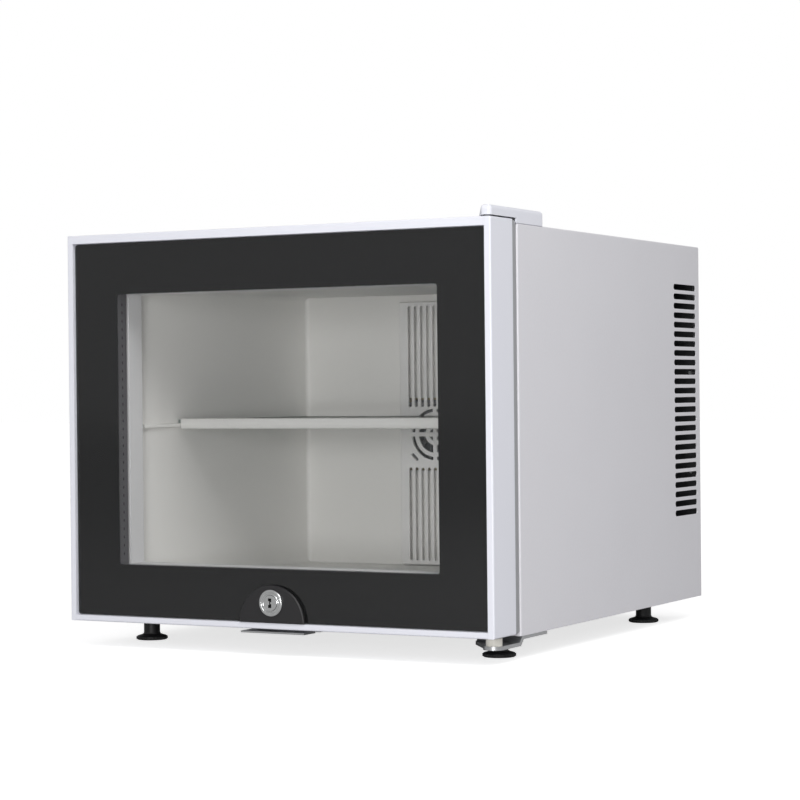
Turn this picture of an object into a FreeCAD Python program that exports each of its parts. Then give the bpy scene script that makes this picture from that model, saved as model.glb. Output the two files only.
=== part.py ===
import FreeCAD, Part
import math
import os
import re

import Sketcher

# Beverage fridge with a framed glass door, a key lock and a thermoelectric cooler.
# Millimetres. X runs to the viewer's right, Y to the back and Z up.
# Pieces are drawn with Y counted from the front face of the door and Z from the floor,
# and each piece's Placement then moves it so that the origin is under the middle of the part.

SIZES = {
    # cabinet shell
    "cabinet_width": 400,
    "cabinet_height": 325,
    "cabinet_depth": 392,
    "standing_height": 20,
    "steel_gauge": 1,
    "bend_radius": 1.2,
    "front_flange": 34,
    "rear_flange": 14,
    "sill_height": 26,
    # side vents
    "vent_count": 25,
    "vent_length": 54.5,
    "vent_width": 5.3,
    "vent_low": 79.6,
    "vent_high": 38.8,
    "vent_inset": 35.5,
    # liner and insulation
    "side_thickness": 40,
    "roof_thickness": 41,
    "machine_depth": 79.5,
    "floor_thickness": 30,
    "liner_gauge": 1.5,
    "liner_lip": 14,
    "liner_corner": 4,
    "back_insulation": 30,
    "ledge_width": 4,
    "ledge_thickness": 3,
    "ledge_rise": 14.2,
    # shelf
    "shelf_gauge": 3,
    "shelf_back_gap": 3,
    "shelf_setback": 55,
    "shelf_trim_depth": 12,
    "shelf_trim_height": 9.4,
    "shelf_trim_front": 3,
    "slide_clearance": 0.3,
    "shelf_side_clearance": 0.6,
    "seat_clearance": 0.1,
    # air duct cover on the inner back wall
    "duct_width": 74,
    "duct_top_gap": 7,
    "duct_depth": 10,
    "duct_wall": 2,
    "duct_rise": 1,
    "duct_edge_radius": 1.5,
    "duct_slot_count": 9,
    "duct_slot_pitch": 6.47,
    "duct_slot_width": 3.5,
    "duct_slot_gap": 1.5,
    "duct_slot_step": 5.5,
    "duct_slot_margin": 4,
    "grille_radius": 24,
    "grille_bar": 4,
    "grille_ring_outer": 19,
    "grille_ring_inner": 8,
    "grille_corner_radius": 30,
    "grille_corner_length": 9,
    "grille_corner_width": 3,
    # cooler module
    "module_drop": 4,
    "cooler_shift": 16,
    "module_opening": 68,
    "cold_fan_size": 60,
    "cold_fan_depth": 12,
    "cold_fan_hub": 11,
    "hot_fan_size": 92,
    "hot_fan_depth": 25,
    "hot_fan_hub": 17,
    "fan_wall": 2,
    "fan_tip_clearance": 1.5,
    "fan_strut": 4,
    "fan_back": 3,
    "fan_front_room": 1.2,
    "fan_shaft_radius": 1.5,
    "fan_blade_count": 7,
    "fan_blade_gauge": 1.2,
    "fan_blade_pitch": 38,
    "running_clearance": 0.05,
    "cold_sink_size": 64,
    "cold_sink_base": 4,
    "cold_fin_length": 13,
    "cold_fin_gauge": 1.5,
    "cold_fin_count": 11,
    "module_size": 40,
    "cold_block_depth": 5,
    "peltier_depth": 4,
    "module_seal_size": 60,
    "module_seal_play": 1,
    "hot_sink_width": 140,
    "hot_sink_height": 110,
    "hot_sink_base": 6,
    "hot_fin_length": 28,
    "hot_fin_gauge": 1.6,
    "hot_fin_count": 15,
    "hot_fin_span": 118,
    "pedestal_play": 0.5,
    # power supply
    "board_sink_gap": 4,
    "board_height": 130,
    "board_gauge": 1.6,
    "board_standoff": 11,
    "board_side_gap": 16,
    "board_rise": 40,
    "standoff_radius": 3,
    "standoff_inset": 6,
    "transformer_width": 38,
    "transformer_height": 44,
    "transformer_depth": 32,
    "capacitor_radius": 8,
    "capacitor_length": 28,
    "capacitor_pitch": 22,
    "sensor_radius": 2.5,
    "sensor_length": 24,
    "sensor_offset": 22,
    "sensor_clip": 1.5,
    "sensor_drop": 69,
    # rear cover
    "cover_gauge": 2,
    "cover_height": 238,
    "cover_side_gap": 3,
    "panel_side_gap": 4,
    "panel_overlap": 2,
    "cover_slot_length": 84,
    "cover_slot_width": 5,
    "cover_slot_pitch": 10,
    "cover_slot_rows": 15,
    "cover_slot_low": 70,
    "cover_slot_spread": 106,
    "gland_radius": 11,
    "gland_collar": 4,
    "gland_barrel_radius": 7.9,
    "gland_barrel_length": 12,
    "gland_snap": 1.2,
    "gland_snap_length": 3,
    "gland_bore_radius": 3.6,
    "gland_inset": 50,
    "gland_rise": 40,
    "hole_clearance": 0.1,
    # screws
    "screw_head_radius": 3.6,
    "screw_head_height": 1.8,
    "screw_shank_radius": 1.7,
    "screw_shank_length": 8,
    "cover_screw_low": 24,
    "cover_screw_pitch": 92,
    # feet
    "foot_side_inset": 32,
    "foot_front_inset": 26,
    "foot_rear_inset": 64,
    "foot_pad_radius": 13.7,
    "foot_pad_height": 4.5,
    "foot_neck_radius": 7,
    "foot_neck_height": 16.5,
    "foot_stud_radius": 4,
    "foot_stud_length": 27,
    "foot_nut_radius": 7.5,
    "foot_nut_height": 8,
    "foot_pocket_room": 2,
    # door
    "door_side_reach": 0,
    "door_top_reach": 3,
    "door_depth": 40,
    "door_gap": 8,
    "door_rise": 2,
    "frame_wall": 3.5,
    "lip_side": 5.5,
    "lip_top": 7,
    "lip_bottom": 5,
    "seat_width": 12,
    "seat_gauge": 3,
    "frame_edge_radius": 1.2,
    "glass_recess": 1,
    "glass_gauge": 4,
    "glass_clearance": 0.3,
    "print_gauge": 0.25,
    "window_side_border": 48.5,
    "window_top_border": 50.5,
    "window_rise": 48.5,
    "spacer_depth": 12,
    "spacer_width": 8,
    "spacer_setback": 0.5,
    "sealant_width": 5,
    "inner_glass_gauge": 4,
    "inner_frame_wall": 2.5,
    "inner_frame_back": 5,
    "gasket_side_inset": 13,
    "gasket_top_inset": 13,
    "gasket_bottom_inset": 5,
    "gasket_width": 19,
    "gasket_skin": 2.7,
    "gasket_side_skin": 4,
    "gasket_lip_inset": 0.5,
    "gasket_lip_gauge": 6,
    "gasket_dart": 3,
    "gasket_dart_depth": 2.8,
    "seal_clearance": 0.3,
    "magnet_gauge": 3,
    # hinges
    "hinge_inset": 10,
    "hinge_setback": 20,
    "hinge_end_radius": 8.5,
    "hinge_width": 38,
    "hinge_screw_pitch": 18,
    "hinge_screw_back": 14,
    "top_plate_gauge": 2.5,
    "top_plate_reach": 46,
    "top_pin_radius": 2.5,
    "pin_depth": 12,
    "pin_head_radius": 4,
    "pin_head_height": 1.5,
    "top_lift": 1,
    "bush_wall": 2,
    "bush_flange": 1.5,
    "bush_flange_height": 0.7,
    "hinge_cover_height": 12,
    "hinge_cover_length": 97.5,
    "hinge_cover_tip": 8,
    "hinge_cover_rear": 50,
    "hinge_cover_wall": 1.4,
    "hinge_cover_radius": 3,
    "hinge_cover_lift": 1,
    "low_plate_gauge": 3,
    "low_plate_reach": 52,
    "low_plate_drop": 5,
    "low_pin_radius": 3,
    "low_spacer_radius": 6.5,
    "low_spacer_room": 0.3,
    # lock
    "lock_rise": 21.5,
    "escutcheon_radius": 30.5,
    "escutcheon_proud": 2,
    "escutcheon_edge": 1.2,
    "lock_head_radius": 11,
    "lock_head_height": 2,
    "lock_body_radius": 9,
    "lock_body_length": 21,
    "plug_radius": 6.4,
    "plug_proud": 0.4,
    "plug_tail_radius": 3.5,
    "keyway_width": 2,
    "keyway_height": 8,
    "keyway_depth": 4,
    "cam_gauge": 2.5,
    "cam_width": 12,
    "cam_length": 34,
    "cam_room": 2,
    "nut_radius": 11,
    "nut_gauge": 4,
    "lock_tab_margin": 1.5,
    "keeper_width": 60,
    "keeper_gauge": 1.5,
    "keeper_reach": 92,
    "keeper_screw_spread": 18,
    "keeper_screw_inset": 14,
}

# Places that several pieces share, as expressions of the sizes.
HALF = "(cabinet_width / 2)"
INSIDE = "(cabinet_width / 2 - steel_gauge)"
BASE = "standing_height"
PLATE_TOP = "(standing_height + steel_gauge)"
CEILING = "(standing_height + cabinet_height)"
ROOF_UNDER = "(standing_height + cabinet_height - steel_gauge)"
FRONT = "(door_depth + door_gap)"
FLANGE_BACK = "(door_depth + door_gap + steel_gauge)"
REAR = "(door_depth + door_gap + cabinet_depth)"
INNER_HALF = "(cabinet_width / 2 - side_thickness)"
INNER_LOW = "(standing_height + floor_thickness)"
INNER_HIGH = "(standing_height + cabinet_height - roof_thickness)"
BULKHEAD = f"({REAR} - machine_depth)"
LINER_BACK = f"({BULKHEAD} - back_insulation)"
INNER_BACK = f"({LINER_BACK} - liner_gauge)"
HOT_BASE = f"({BULKHEAD} + steel_gauge)"
MODULE_Z = f"(({INNER_LOW} + {INNER_HIGH}) / 2 - module_drop)"
COOLER_X = "(-cooler_shift)"
DUCT_FRONT = f"({INNER_BACK} - duct_depth)"
COLD_FAN_FRONT = f"({DUCT_FRONT} + duct_wall)"
PELTIER_FRONT = f"({BULKHEAD} - peltier_depth)"
BLOCK_FRONT = f"({PELTIER_FRONT} - cold_block_depth)"
COLD_BASE_FRONT = f"({BLOCK_FRONT} - cold_sink_base)"
HOT_FIN_FRONT = f"({HOT_BASE} + hot_sink_base)"
HOT_FAN_FRONT = f"({HOT_FIN_FRONT} + hot_fin_length)"
LEDGE_TOP = f"({MODULE_Z} + ledge_rise)"
SHELF_LOW = f"({LEDGE_TOP} + slide_clearance)"
SHELF_FRONT = f"({FRONT} + shelf_setback)"
SHELF_BACK = f"({DUCT_FRONT} - shelf_back_gap)"
FOOT_X = "(cabinet_width / 2 - foot_side_inset)"
FOOT_FRONT = f"({FRONT} + foot_front_inset)"
FOOT_REAR = f"({REAR} - foot_rear_inset)"

DOOR_HALF = "(cabinet_width / 2 + door_side_reach)"
DOOR_LOW = "(standing_height + door_rise)"
DOOR_HIGH = "(standing_height + cabinet_height + door_top_reach)"
GLASS_BACK = "(glass_recess + glass_gauge)"
SEAT_BACK = "(glass_recess + glass_gauge + seat_gauge)"
PANE_HALF = f"({DOOR_HALF} - lip_side - glass_clearance)"
PANE_LOW = f"({DOOR_LOW} + lip_bottom + glass_clearance)"
PANE_HIGH = f"({DOOR_HIGH} - lip_top - glass_clearance)"
WINDOW_HALF = f"({DOOR_HALF} - window_side_border)"
WINDOW_LOW = f"({DOOR_LOW} + window_rise)"
WINDOW_HIGH = f"({DOOR_HIGH} - window_top_border)"
SPACER_BACK = "(glass_recess + glass_gauge + spacer_depth)"
UNIT_BACK = f"({SPACER_BACK} + inner_glass_gauge)"
UNIT_REACH = "(spacer_setback + spacer_width + sealant_width)"
LOCK_Z = f"({DOOR_LOW} + lock_rise)"
LOCK_FACE = "(glass_recess - escutcheon_proud)"
LOCK_FRONT = f"({LOCK_FACE} - lock_head_height - plug_proud)"
LOCK_BACK = f"({LOCK_FACE} + lock_body_length)"
HINGE_X = f"({DOOR_HALF} - hinge_inset)"
REAR_REACH = f"({REAR} + cover_gauge + gland_collar)"
TO_MIDDLE = f"(-({REAR_REACH} + {LOCK_FRONT}) / 2)"

PLANES = {"XY": ("XY_Plane", 1), "XZ": ("XZ_Plane", -1), "YZ": ("YZ_Plane", 1)}
WORD = re.compile(r"[a-z]+(?:_[a-z]+)*")

doc = FreeCAD.newDocument("beverage_fridge")
sheet = doc.addObject("Spreadsheet::Sheet", "Sizes")
for row, (alias, number) in enumerate(SIZES.items(), start=1):
    sheet.set(f"A{row}", alias)
    sheet.set(f"B{row}", str(number))
    sheet.setAlias(f"B{row}", alias)
doc.recompute()

nodes = []


def linked(text):
    """Turns the size names in an expression into references to the sheet."""
    return WORD.sub(lambda m: f"Sizes.{m[0]}" if m[0] in SIZES else m[0], text)


def value(text):
    """The present number behind an expression."""
    return float(sheet.evalExpression(linked(text)))


def bind(thing, prop, text):
    thing.setExpression(prop, linked(text))


def finish(thing, label, x="0", y="0", z="0"):
    """Names a sub-part, moves it into the part's own frame and lists it for export."""
    thing.Label = label
    bind(thing, "Placement.Base.x", x)
    bind(thing, "Placement.Base.y", f"{y} + {TO_MIDDLE}")
    bind(thing, "Placement.Base.z", z)
    nodes.append(thing)
    return thing


def new_body(name):
    return doc.addObject("PartDesign::Body", name)


def origin_feature(body, role):
    return next(f for f in body.Origin.OriginFeatures if f.Role == role)


def new_sketch(body, plane, level, turn=None):
    """A sketch on one of the body's origin planes, raised to a level along X, Y or Z."""
    role, sign = PLANES[plane]
    sketch = body.newObject("Sketcher::SketchObject", "outline")
    sketch.AttachmentSupport = [(origin_feature(body, role), "")]
    sketch.MapMode = "FlatFace"
    bind(sketch, "AttachmentOffset.Base.z", f"{sign} * ({level})")
    if turn:
        bind(sketch, "AttachmentOffset.Rotation.Angle", turn)
    return sketch


def fix_point(sketch, curve, point, across, up):
    for kind, text in (("DistanceX", across), ("DistanceY", up)):
        rule = sketch.addConstraint(Sketcher.Constraint(kind, -1, 1, curve, point, value(text)))
        bind(sketch, f"Constraints[{rule}]", text)


def fix_radius(sketch, curve, radius):
    rule = sketch.addConstraint(Sketcher.Constraint("Radius", curve, value(radius)))
    bind(sketch, f"Constraints[{rule}]", radius)


def polygon(sketch, corners):
    """A closed outline of straight lines through corners given as expressions."""
    first = sketch.GeometryCount
    spots = [FreeCAD.Vector(value(x), value(y), 0) for x, y in corners]
    count = len(spots)
    for i in range(count):
        sketch.addGeometry(Part.LineSegment(spots[i], spots[(i + 1) % count]), False)
    for i in range(count):
        follower = first + (i + 1) % count
        sketch.addConstraint(Sketcher.Constraint("Coincident", first + i, 2, follower, 1))
    for i, (x, y) in enumerate(corners):
        fix_point(sketch, first + i, 1, x, y)


def rectangle(sketch, left, low, right, high):
    polygon(sketch, [(left, low), (right, low), (right, high), (left, high)])


def ring(sketch, half, low, high, width):
    """A rectangular ring, centred across, whose band lies inside the outer rectangle."""
    rectangle(sketch, f"-{half}", low, half, high)
    inner = f"({half} - {width})"
    rectangle(sketch, f"-{inner}", f"{low} + {width}", inner, f"{high} - {width}")


def circle(sketch, x, y, radius):
    centre = FreeCAD.Vector(value(x), value(y), 0)
    curve = sketch.addGeometry(Part.Circle(centre, FreeCAD.Vector(0, 0, 1), value(radius)), False)
    fix_point(sketch, curve, 3, x, y)
    fix_radius(sketch, curve, radius)


def slot(sketch, x, y, length, width, upright=False):
    """A round-ended slot about a centre, lying across the sketch or upright."""
    lead = math.pi / 2 if upright else 0
    radius = value(width) / 2
    reach = value(length) / 2 - radius
    along = FreeCAD.Vector(math.cos(lead), math.sin(lead), 0)
    side = FreeCAD.Vector(-math.sin(lead), math.cos(lead), 0) * radius
    centre = FreeCAD.Vector(value(x), value(y), 0)
    near, far = centre - along * reach, centre + along * reach
    up = FreeCAD.Vector(0, 0, 1)
    quarter = math.pi / 2
    a = sketch.addGeometry(
        Part.ArcOfCircle(Part.Circle(near, up, radius), lead + quarter, lead + 3 * quarter), False
    )
    b = sketch.addGeometry(
        Part.ArcOfCircle(Part.Circle(far, up, radius), lead - quarter, lead + quarter), False
    )
    c = sketch.addGeometry(Part.LineSegment(near - side, far - side), False)
    d = sketch.addGeometry(Part.LineSegment(far + side, near + side), False)
    for one, end, other, start in ((a, 2, c, 1), (c, 2, b, 1), (b, 2, d, 1), (d, 2, a, 1)):
        sketch.addConstraint(Sketcher.Constraint("Tangent", one, end, other, start))
    sketch.addConstraint(Sketcher.Constraint("Equal", a, b))
    sketch.addConstraint(Sketcher.Constraint("Vertical" if upright else "Horizontal", c))
    half = f"(({length} - {width}) / 2)"
    if upright:
        fix_point(sketch, a, 3, x, f"{y} - {half}")
        kind, text = "DistanceY", f"{y} + {half}"
    else:
        fix_point(sketch, a, 3, f"{x} - {half}", y)
        kind, text = "DistanceX", f"{x} + {half}"
    rule = sketch.addConstraint(Sketcher.Constraint(kind, -1, 1, b, 3, value(text)))
    bind(sketch, f"Constraints[{rule}]", text)
    fix_radius(sketch, a, f"{width} / 2")


def extrude(body, sketch, plane, length, cut=False):
    """Pads or cuts from the sketch's level towards +X, +Y or +Z."""
    feature = body.newObject("PartDesign::Pocket" if cut else "PartDesign::Pad", "step")
    feature.Profile = sketch
    feature.Reversed = cut != (plane == "XZ")
    bind(feature, "Length", length)
    body.Tip = feature
    return feature


def block(body, plane, level, length, corners, cut=False):
    """A straight step of one or more rectangles, each left, low, right, high."""
    sketch = new_sketch(body, plane, level)
    for corner in corners:
        rectangle(sketch, *corner)
    return extrude(body, sketch, plane, length, cut)


def disc(body, plane, level, length, spots, radius, cut=False):
    """A straight step of one or more circles of one radius."""
    sketch = new_sketch(body, plane, level)
    for x, y in spots:
        circle(sketch, x, y, radius)
    return extrude(body, sketch, plane, length, cut)


def frame(body, plane, level, length, half, low, high, width, cut=False):
    sketch = new_sketch(body, plane, level)
    ring(sketch, half, low, high, width)
    return extrude(body, sketch, plane, length, cut)


def outline(body, plane, level, length, corners, cut=False):
    sketch = new_sketch(body, plane, level)
    polygon(sketch, corners)
    return extrude(body, sketch, plane, length, cut)


def repeat_line(body, feature, axis, length, count):
    pattern = body.newObject("PartDesign::LinearPattern", "row")
    pattern.Originals = [feature]
    pattern.Direction = (origin_feature(body, axis), [""])
    bind(pattern, "Length", length)
    bind(pattern, "Occurrences", count)
    body.Tip = pattern
    return pattern


def repeat_round(body, feature, axis, count):
    pattern = body.newObject("PartDesign::PolarPattern", "round")
    pattern.Originals = [feature]
    pattern.Axis = (origin_feature(body, axis), [""])
    pattern.Angle = 360
    bind(pattern, "Occurrences", count)
    body.Tip = pattern
    return pattern


def soften(body, radius, wanted):
    """Rounds the edges of the body's tip whose bounding box passes a test."""
    doc.recompute()
    base = body.Tip
    edges = [f"Edge{i}" for i, e in enumerate(base.Shape.Edges, start=1) if wanted(e.BoundBox)]
    fillet = body.newObject("PartDesign::Fillet", "soft_edges")
    fillet.Base = (base, edges)
    bind(fillet, "Radius", radius)
    body.Tip = fillet
    return fillet


def near(a, b):
    return abs(a - b) < 0.01


def revolve(body, corners):
    """Turns a half profile, given as radius and height, about the body's Z axis."""
    sketch = new_sketch(body, "XZ", "0")
    polygon(sketch, corners)
    turned = body.newObject("PartDesign::Revolution", "turned")
    turned.Profile = sketch
    turned.ReferenceAxis = (sketch, ["V_Axis"])
    turned.Angle = 360
    body.Tip = turned
    return turned


def cylinder(radius, height, x, y, z, facing="up"):
    """A plain cylinder whose axis rises along Z or runs back along Y."""
    rod = doc.addObject("Part::Cylinder", "rod")
    if facing == "back":
        rod.Placement = FreeCAD.Placement(FreeCAD.Vector(), FreeCAD.Rotation(FreeCAD.Vector(1, 0, 0), -90))
    bind(rod, "Radius", radius)
    bind(rod, "Height", height)
    bind(rod, "Placement.Base.x", x)
    bind(rod, "Placement.Base.y", y)
    bind(rod, "Placement.Base.z", z)
    return rod


def screw(x, y, z, facing, length):
    """A pan-head screw seated at a point: its head stands out and its shank goes in."""
    head, shank = "screw_head_height", length
    if facing == "back":
        top = cylinder("screw_head_radius", head, x, y, z, "back")
        stem = cylinder("screw_shank_radius", shank, x, f"{y} - {shank}", z, "back")
    elif facing == "up":
        top = cylinder("screw_head_radius", head, x, y, z)
        stem = cylinder("screw_shank_radius", shank, x, y, f"{z} - {shank}")
    else:
        top = cylinder("screw_head_radius", head, x, y, f"{z} - {head}")
        stem = cylinder("screw_shank_radius", shank, x, y, z)
    joined = doc.addObject("Part::Fuse", "screw")
    joined.Base = top
    joined.Tool = stem
    return joined


def group(label, members):
    """Several separate solids that share one node."""
    cluster = doc.addObject("Part::Compound", label)
    cluster.Links = members
    return finish(cluster, label)


# Cabinet shell

SCREW_HOLE = "(screw_shank_radius + hole_clearance)"
COVER_SCREW_X = "(cabinet_width / 2 - rear_flange / 2)"
COVER_SCREWS = [
    (f"{side} * {COVER_SCREW_X}", f"(standing_height + cover_screw_low + {step} * cover_screw_pitch)")
    for side in (-1, 1)
    for step in range(3)
]
HINGE_SCREW_X = f"({DOOR_HALF} - hinge_width / 2 - hinge_end_radius / 2)"
TOP_PLATE_END = f"({FRONT} + top_plate_reach)"
LOW_PLATE_END = f"({FRONT} + low_plate_reach)"
TOP_SCREWS = [
    (f"({HINGE_SCREW_X} + {side} * hinge_screw_pitch / 2)", f"({TOP_PLATE_END} - hinge_screw_back)")
    for side in (-1, 1)
]
LOW_SCREWS = [
    (f"({HINGE_SCREW_X} + {side} * hinge_screw_pitch / 2)", f"({LOW_PLATE_END} - hinge_screw_back / 2)")
    for side in (-1, 1)
]
KEEPER_SCREWS = [
    (f"({side} * keeper_screw_spread)", "(keeper_reach - keeper_screw_inset)") for side in (-1, 1)
]
FOOT_SPOTS = {
    "foot_front_left": (f"-{FOOT_X}", FOOT_FRONT),
    "foot_front_right": (FOOT_X, FOOT_FRONT),
    "foot_rear_left": (f"-{FOOT_X}", FOOT_REAR),
    "foot_rear_right": (FOOT_X, FOOT_REAR),
}


def shell_profile(width):
    """The cabinet's front outline as a band open at the bottom: two sides and a roof."""
    inner = f"({HALF} - {width})"
    roof = f"({CEILING} - {width})"
    return [
        (f"-{HALF}", BASE),
        (f"-{HALF}", CEILING),
        (HALF, CEILING),
        (HALF, BASE),
        (inner, BASE),
        (inner, roof),
        (f"-{inner}", roof),
        (f"-{inner}", BASE),
    ]


def make_outer_wrap():
    """Folded steel sheet: both sides and the roof, with front and rear flanges and vent slots."""
    body = new_body("outer_wrap")
    outline(body, "XZ", FRONT, "cabinet_depth", shell_profile("steel_gauge"))
    outline(body, "XZ", FRONT, "steel_gauge", shell_profile("front_flange"))
    outline(body, "XZ", f"{REAR} - steel_gauge", "steel_gauge", shell_profile("rear_flange"))
    half, roof, front = value(HALF), value(CEILING), value(FRONT)

    def outer_bend(box):
        at_front = near(box.YMin, front) and near(box.YMax, front)
        on_side = near(abs(box.XMin), half) and near(box.XMin, box.XMax)
        on_roof = near(box.ZMin, roof) and near(box.ZMax, roof)
        return at_front and (on_side or on_roof) or (on_side and on_roof)

    soften(body, "min(bend_radius; 2 * steel_gauge)", outer_bend)
    sketch = new_sketch(body, "YZ", f"-{HALF} - steel_gauge")
    slot(sketch, f"({REAR} - vent_inset)", "(standing_height + vent_low)", "vent_length", "vent_width")
    vent = extrude(body, sketch, "YZ", "cabinet_width + 2 * steel_gauge", cut=True)
    repeat_line(body, vent, "Z_Axis", "cabinet_height - vent_low - vent_high", "vent_count")
    disc(body, "XY", ROOF_UNDER, "steel_gauge", TOP_SCREWS, SCREW_HOLE, cut=True)
    disc(body, "XZ", f"{REAR} - steel_gauge", "steel_gauge", COVER_SCREWS, SCREW_HOLE, cut=True)
    finish(body, "outer_wrap")


def make_base_plate():
    """Steel floor with a front sill and a rear flange, drilled for the feet, hinge and keeper."""
    body = new_body("base_plate")
    block(body, "XY", BASE, "steel_gauge", [(f"-{INSIDE}", FLANGE_BACK, INSIDE, f"{REAR} - steel_gauge")])
    sill = f"({HALF} - front_flange)"
    block(body, "XZ", FRONT, "steel_gauge", [(f"-{sill}", BASE, sill, f"{BASE} + sill_height")])
    back = f"({HALF} - rear_flange)"
    block(
        body,
        "XZ",
        f"{REAR} - steel_gauge",
        "steel_gauge",
        [(f"-{back}", BASE, back, f"{BASE} + rear_flange")],
    )
    studs = "(foot_stud_radius + running_clearance)"
    disc(body, "XY", BASE, "steel_gauge", FOOT_SPOTS.values(), studs, cut=True)
    disc(body, "XY", BASE, "steel_gauge", LOW_SCREWS + KEEPER_SCREWS, SCREW_HOLE, cut=True)
    finish(body, "base_plate")


def make_foam_insulation():
    """Foamed-in insulation between the steel shell and the liner."""
    body = new_body("foam_insulation")
    block(
        body,
        "XZ",
        FLANGE_BACK,
        f"{BULKHEAD} - {FLANGE_BACK}",
        [(f"-{INSIDE}", PLATE_TOP, INSIDE, ROOF_UNDER)],
    )
    tub = f"({INNER_HALF} + liner_gauge)"
    block(
        body,
        "XZ",
        FLANGE_BACK,
        f"{LINER_BACK} - {FLANGE_BACK}",
        [(f"-{tub}", f"{INNER_LOW} - liner_gauge", tub, f"{INNER_HIGH} + liner_gauge")],
        cut=True,
    )
    lip = f"({INNER_HALF} + liner_lip)"
    block(
        body,
        "XZ",
        FLANGE_BACK,
        "liner_gauge",
        [(f"-{lip}", f"{INNER_LOW} - liner_lip", lip, f"{INNER_HIGH} + liner_lip")],
        cut=True,
    )
    module_pocket(body, LINER_BACK, f"{BLOCK_FRONT} - {LINER_BACK}", "module_opening")
    module_pocket(body, BLOCK_FRONT, f"{BULKHEAD} - {BLOCK_FRONT}", "module_seal_size")
    front_feet = [spot for label, spot in FOOT_SPOTS.items() if "front" in label]
    pocket = "(foot_stud_length - standing_height + foot_neck_height + foot_pocket_room)"
    disc(body, "XY", PLATE_TOP, pocket, front_feet, "(foot_nut_radius + foot_pocket_room)", cut=True)
    room = "(screw_shank_radius + foot_pocket_room)"
    disc(body, "XY", PLATE_TOP, "screw_shank_length", LOW_SCREWS + KEEPER_SCREWS, room, cut=True)
    disc(body, "XY", f"{ROOF_UNDER} - screw_shank_length", "screw_shank_length", TOP_SCREWS, room, cut=True)
    finish(body, "foam_insulation")


def centred(width, height=None):
    """A rectangle about the cooler's axis, as left, low, right, high."""
    half, rise = f"({width} / 2)", f"({height or width} / 2)"
    return (f"{COOLER_X} - {half}", f"{MODULE_Z} - {rise}", f"{COOLER_X} + {half}", f"{MODULE_Z} + {rise}")


def module_pocket(body, level, length, size):
    """A square opening about the cooler's axis."""
    block(body, "XZ", level, length, [centred(size)], cut=True)


def make_inner_liner():
    """Vacuum-formed tub with a front lip, rounded corners and a pair of shelf ledges."""
    body = new_body("inner_liner")
    tub = f"({INNER_HALF} + liner_gauge)"
    block(
        body,
        "XZ",
        FLANGE_BACK,
        f"{LINER_BACK} - {FLANGE_BACK}",
        [(f"-{tub}", f"{INNER_LOW} - liner_gauge", tub, f"{INNER_HIGH} + liner_gauge")],
    )
    lip = f"({INNER_HALF} + liner_lip)"
    block(
        body,
        "XZ",
        FLANGE_BACK,
        "liner_gauge",
        [(f"-{lip}", f"{INNER_LOW} - liner_lip", lip, f"{INNER_HIGH} + liner_lip")],
    )
    block(
        body,
        "XZ",
        FLANGE_BACK,
        f"{INNER_BACK} - {FLANGE_BACK}",
        [(f"-{INNER_HALF}", INNER_LOW, INNER_HALF, INNER_HIGH)],
        cut=True,
    )
    half, low, high, back = value(INNER_HALF), value(INNER_LOW), value(INNER_HIGH), value(INNER_BACK)

    def inner_corner(box):
        on_side = near(abs(box.XMin), half) and near(box.XMin, box.XMax)
        on_level = near(box.ZMin, box.ZMax) and (near(box.ZMin, low) or near(box.ZMin, high))
        at_back = near(box.YMin, back) and near(box.YMax, back)
        return on_side and (on_level or at_back)

    soften(body, "liner_corner", inner_corner)
    ledge = f"({INNER_HALF} - ledge_width)"
    low = f"{LEDGE_TOP} - ledge_thickness"
    outer = f"({INNER_HALF} + liner_gauge / 2)"
    block(
        body,
        "XZ",
        FLANGE_BACK,
        f"{INNER_BACK} - {FLANGE_BACK}",
        [(f"-{outer}", low, f"-{ledge}", LEDGE_TOP), (ledge, low, outer, LEDGE_TOP)],
    )
    module_pocket(body, INNER_BACK, "liner_gauge", "module_opening")
    finish(body, "inner_liner")


def make_rear_bulkhead():
    """Steel wall behind the insulation, open where the cooler's pedestal comes through."""
    body = new_body("rear_bulkhead")
    block(body, "XZ", BULKHEAD, "steel_gauge", [(f"-{INSIDE}", PLATE_TOP, INSIDE, ROOF_UNDER)])
    module_pocket(body, BULKHEAD, "steel_gauge", "(module_size + 4 * pedestal_play)")
    disc(body, "XZ", BULKHEAD, "steel_gauge", SINK_SCREWS, SCREW_HOLE, cut=True)
    finish(body, "rear_bulkhead")


def make_rear_panel():
    """Plain upper back panel, fixed behind the shell's rear flange."""
    body = new_body("rear_panel")
    side = f"({INSIDE} - panel_side_gap)"
    low = "(standing_height + cover_height - panel_overlap)"
    block(
        body,
        "XZ",
        f"{REAR} - 2 * steel_gauge",
        "steel_gauge",
        [(f"-{side}", low, side, f"{ROOF_UNDER} - panel_side_gap")],
    )
    finish(body, "rear_panel")


def make_rear_cover():
    """Removable lower back cover with three columns of air slots and the cord gland's hole."""
    body = new_body("rear_cover")
    side = f"({HALF} - cover_side_gap)"
    block(
        body,
        "XZ",
        REAR,
        "cover_gauge",
        [(f"-{side}", f"{BASE} + cover_side_gap", side, f"{BASE} + cover_height")],
    )
    sketch = new_sketch(body, "XZ", REAR)
    for column in (-1, 0, 1):
        low = "(standing_height + cover_slot_low)"
        slot(sketch, f"({column} * cover_slot_spread)", low, "cover_slot_length", "cover_slot_width")
    vents = extrude(body, sketch, "XZ", "cover_gauge", cut=True)
    repeat_line(body, vents, "Z_Axis", "cover_slot_pitch * (cover_slot_rows - 1)", "cover_slot_rows")
    disc(body, "XZ", REAR, "cover_gauge", COVER_SCREWS, SCREW_HOLE, cut=True)
    disc(body, "XZ", REAR, "cover_gauge", [GLAND_SPOT], "(gland_barrel_radius + hole_clearance)", cut=True)
    finish(body, "rear_cover")
    seat = f"({REAR} + cover_gauge)"
    screws = [screw(x, seat, z, "back", "screw_shank_length") for x, z in COVER_SCREWS]
    group("rear_cover_screws", screws)


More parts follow.
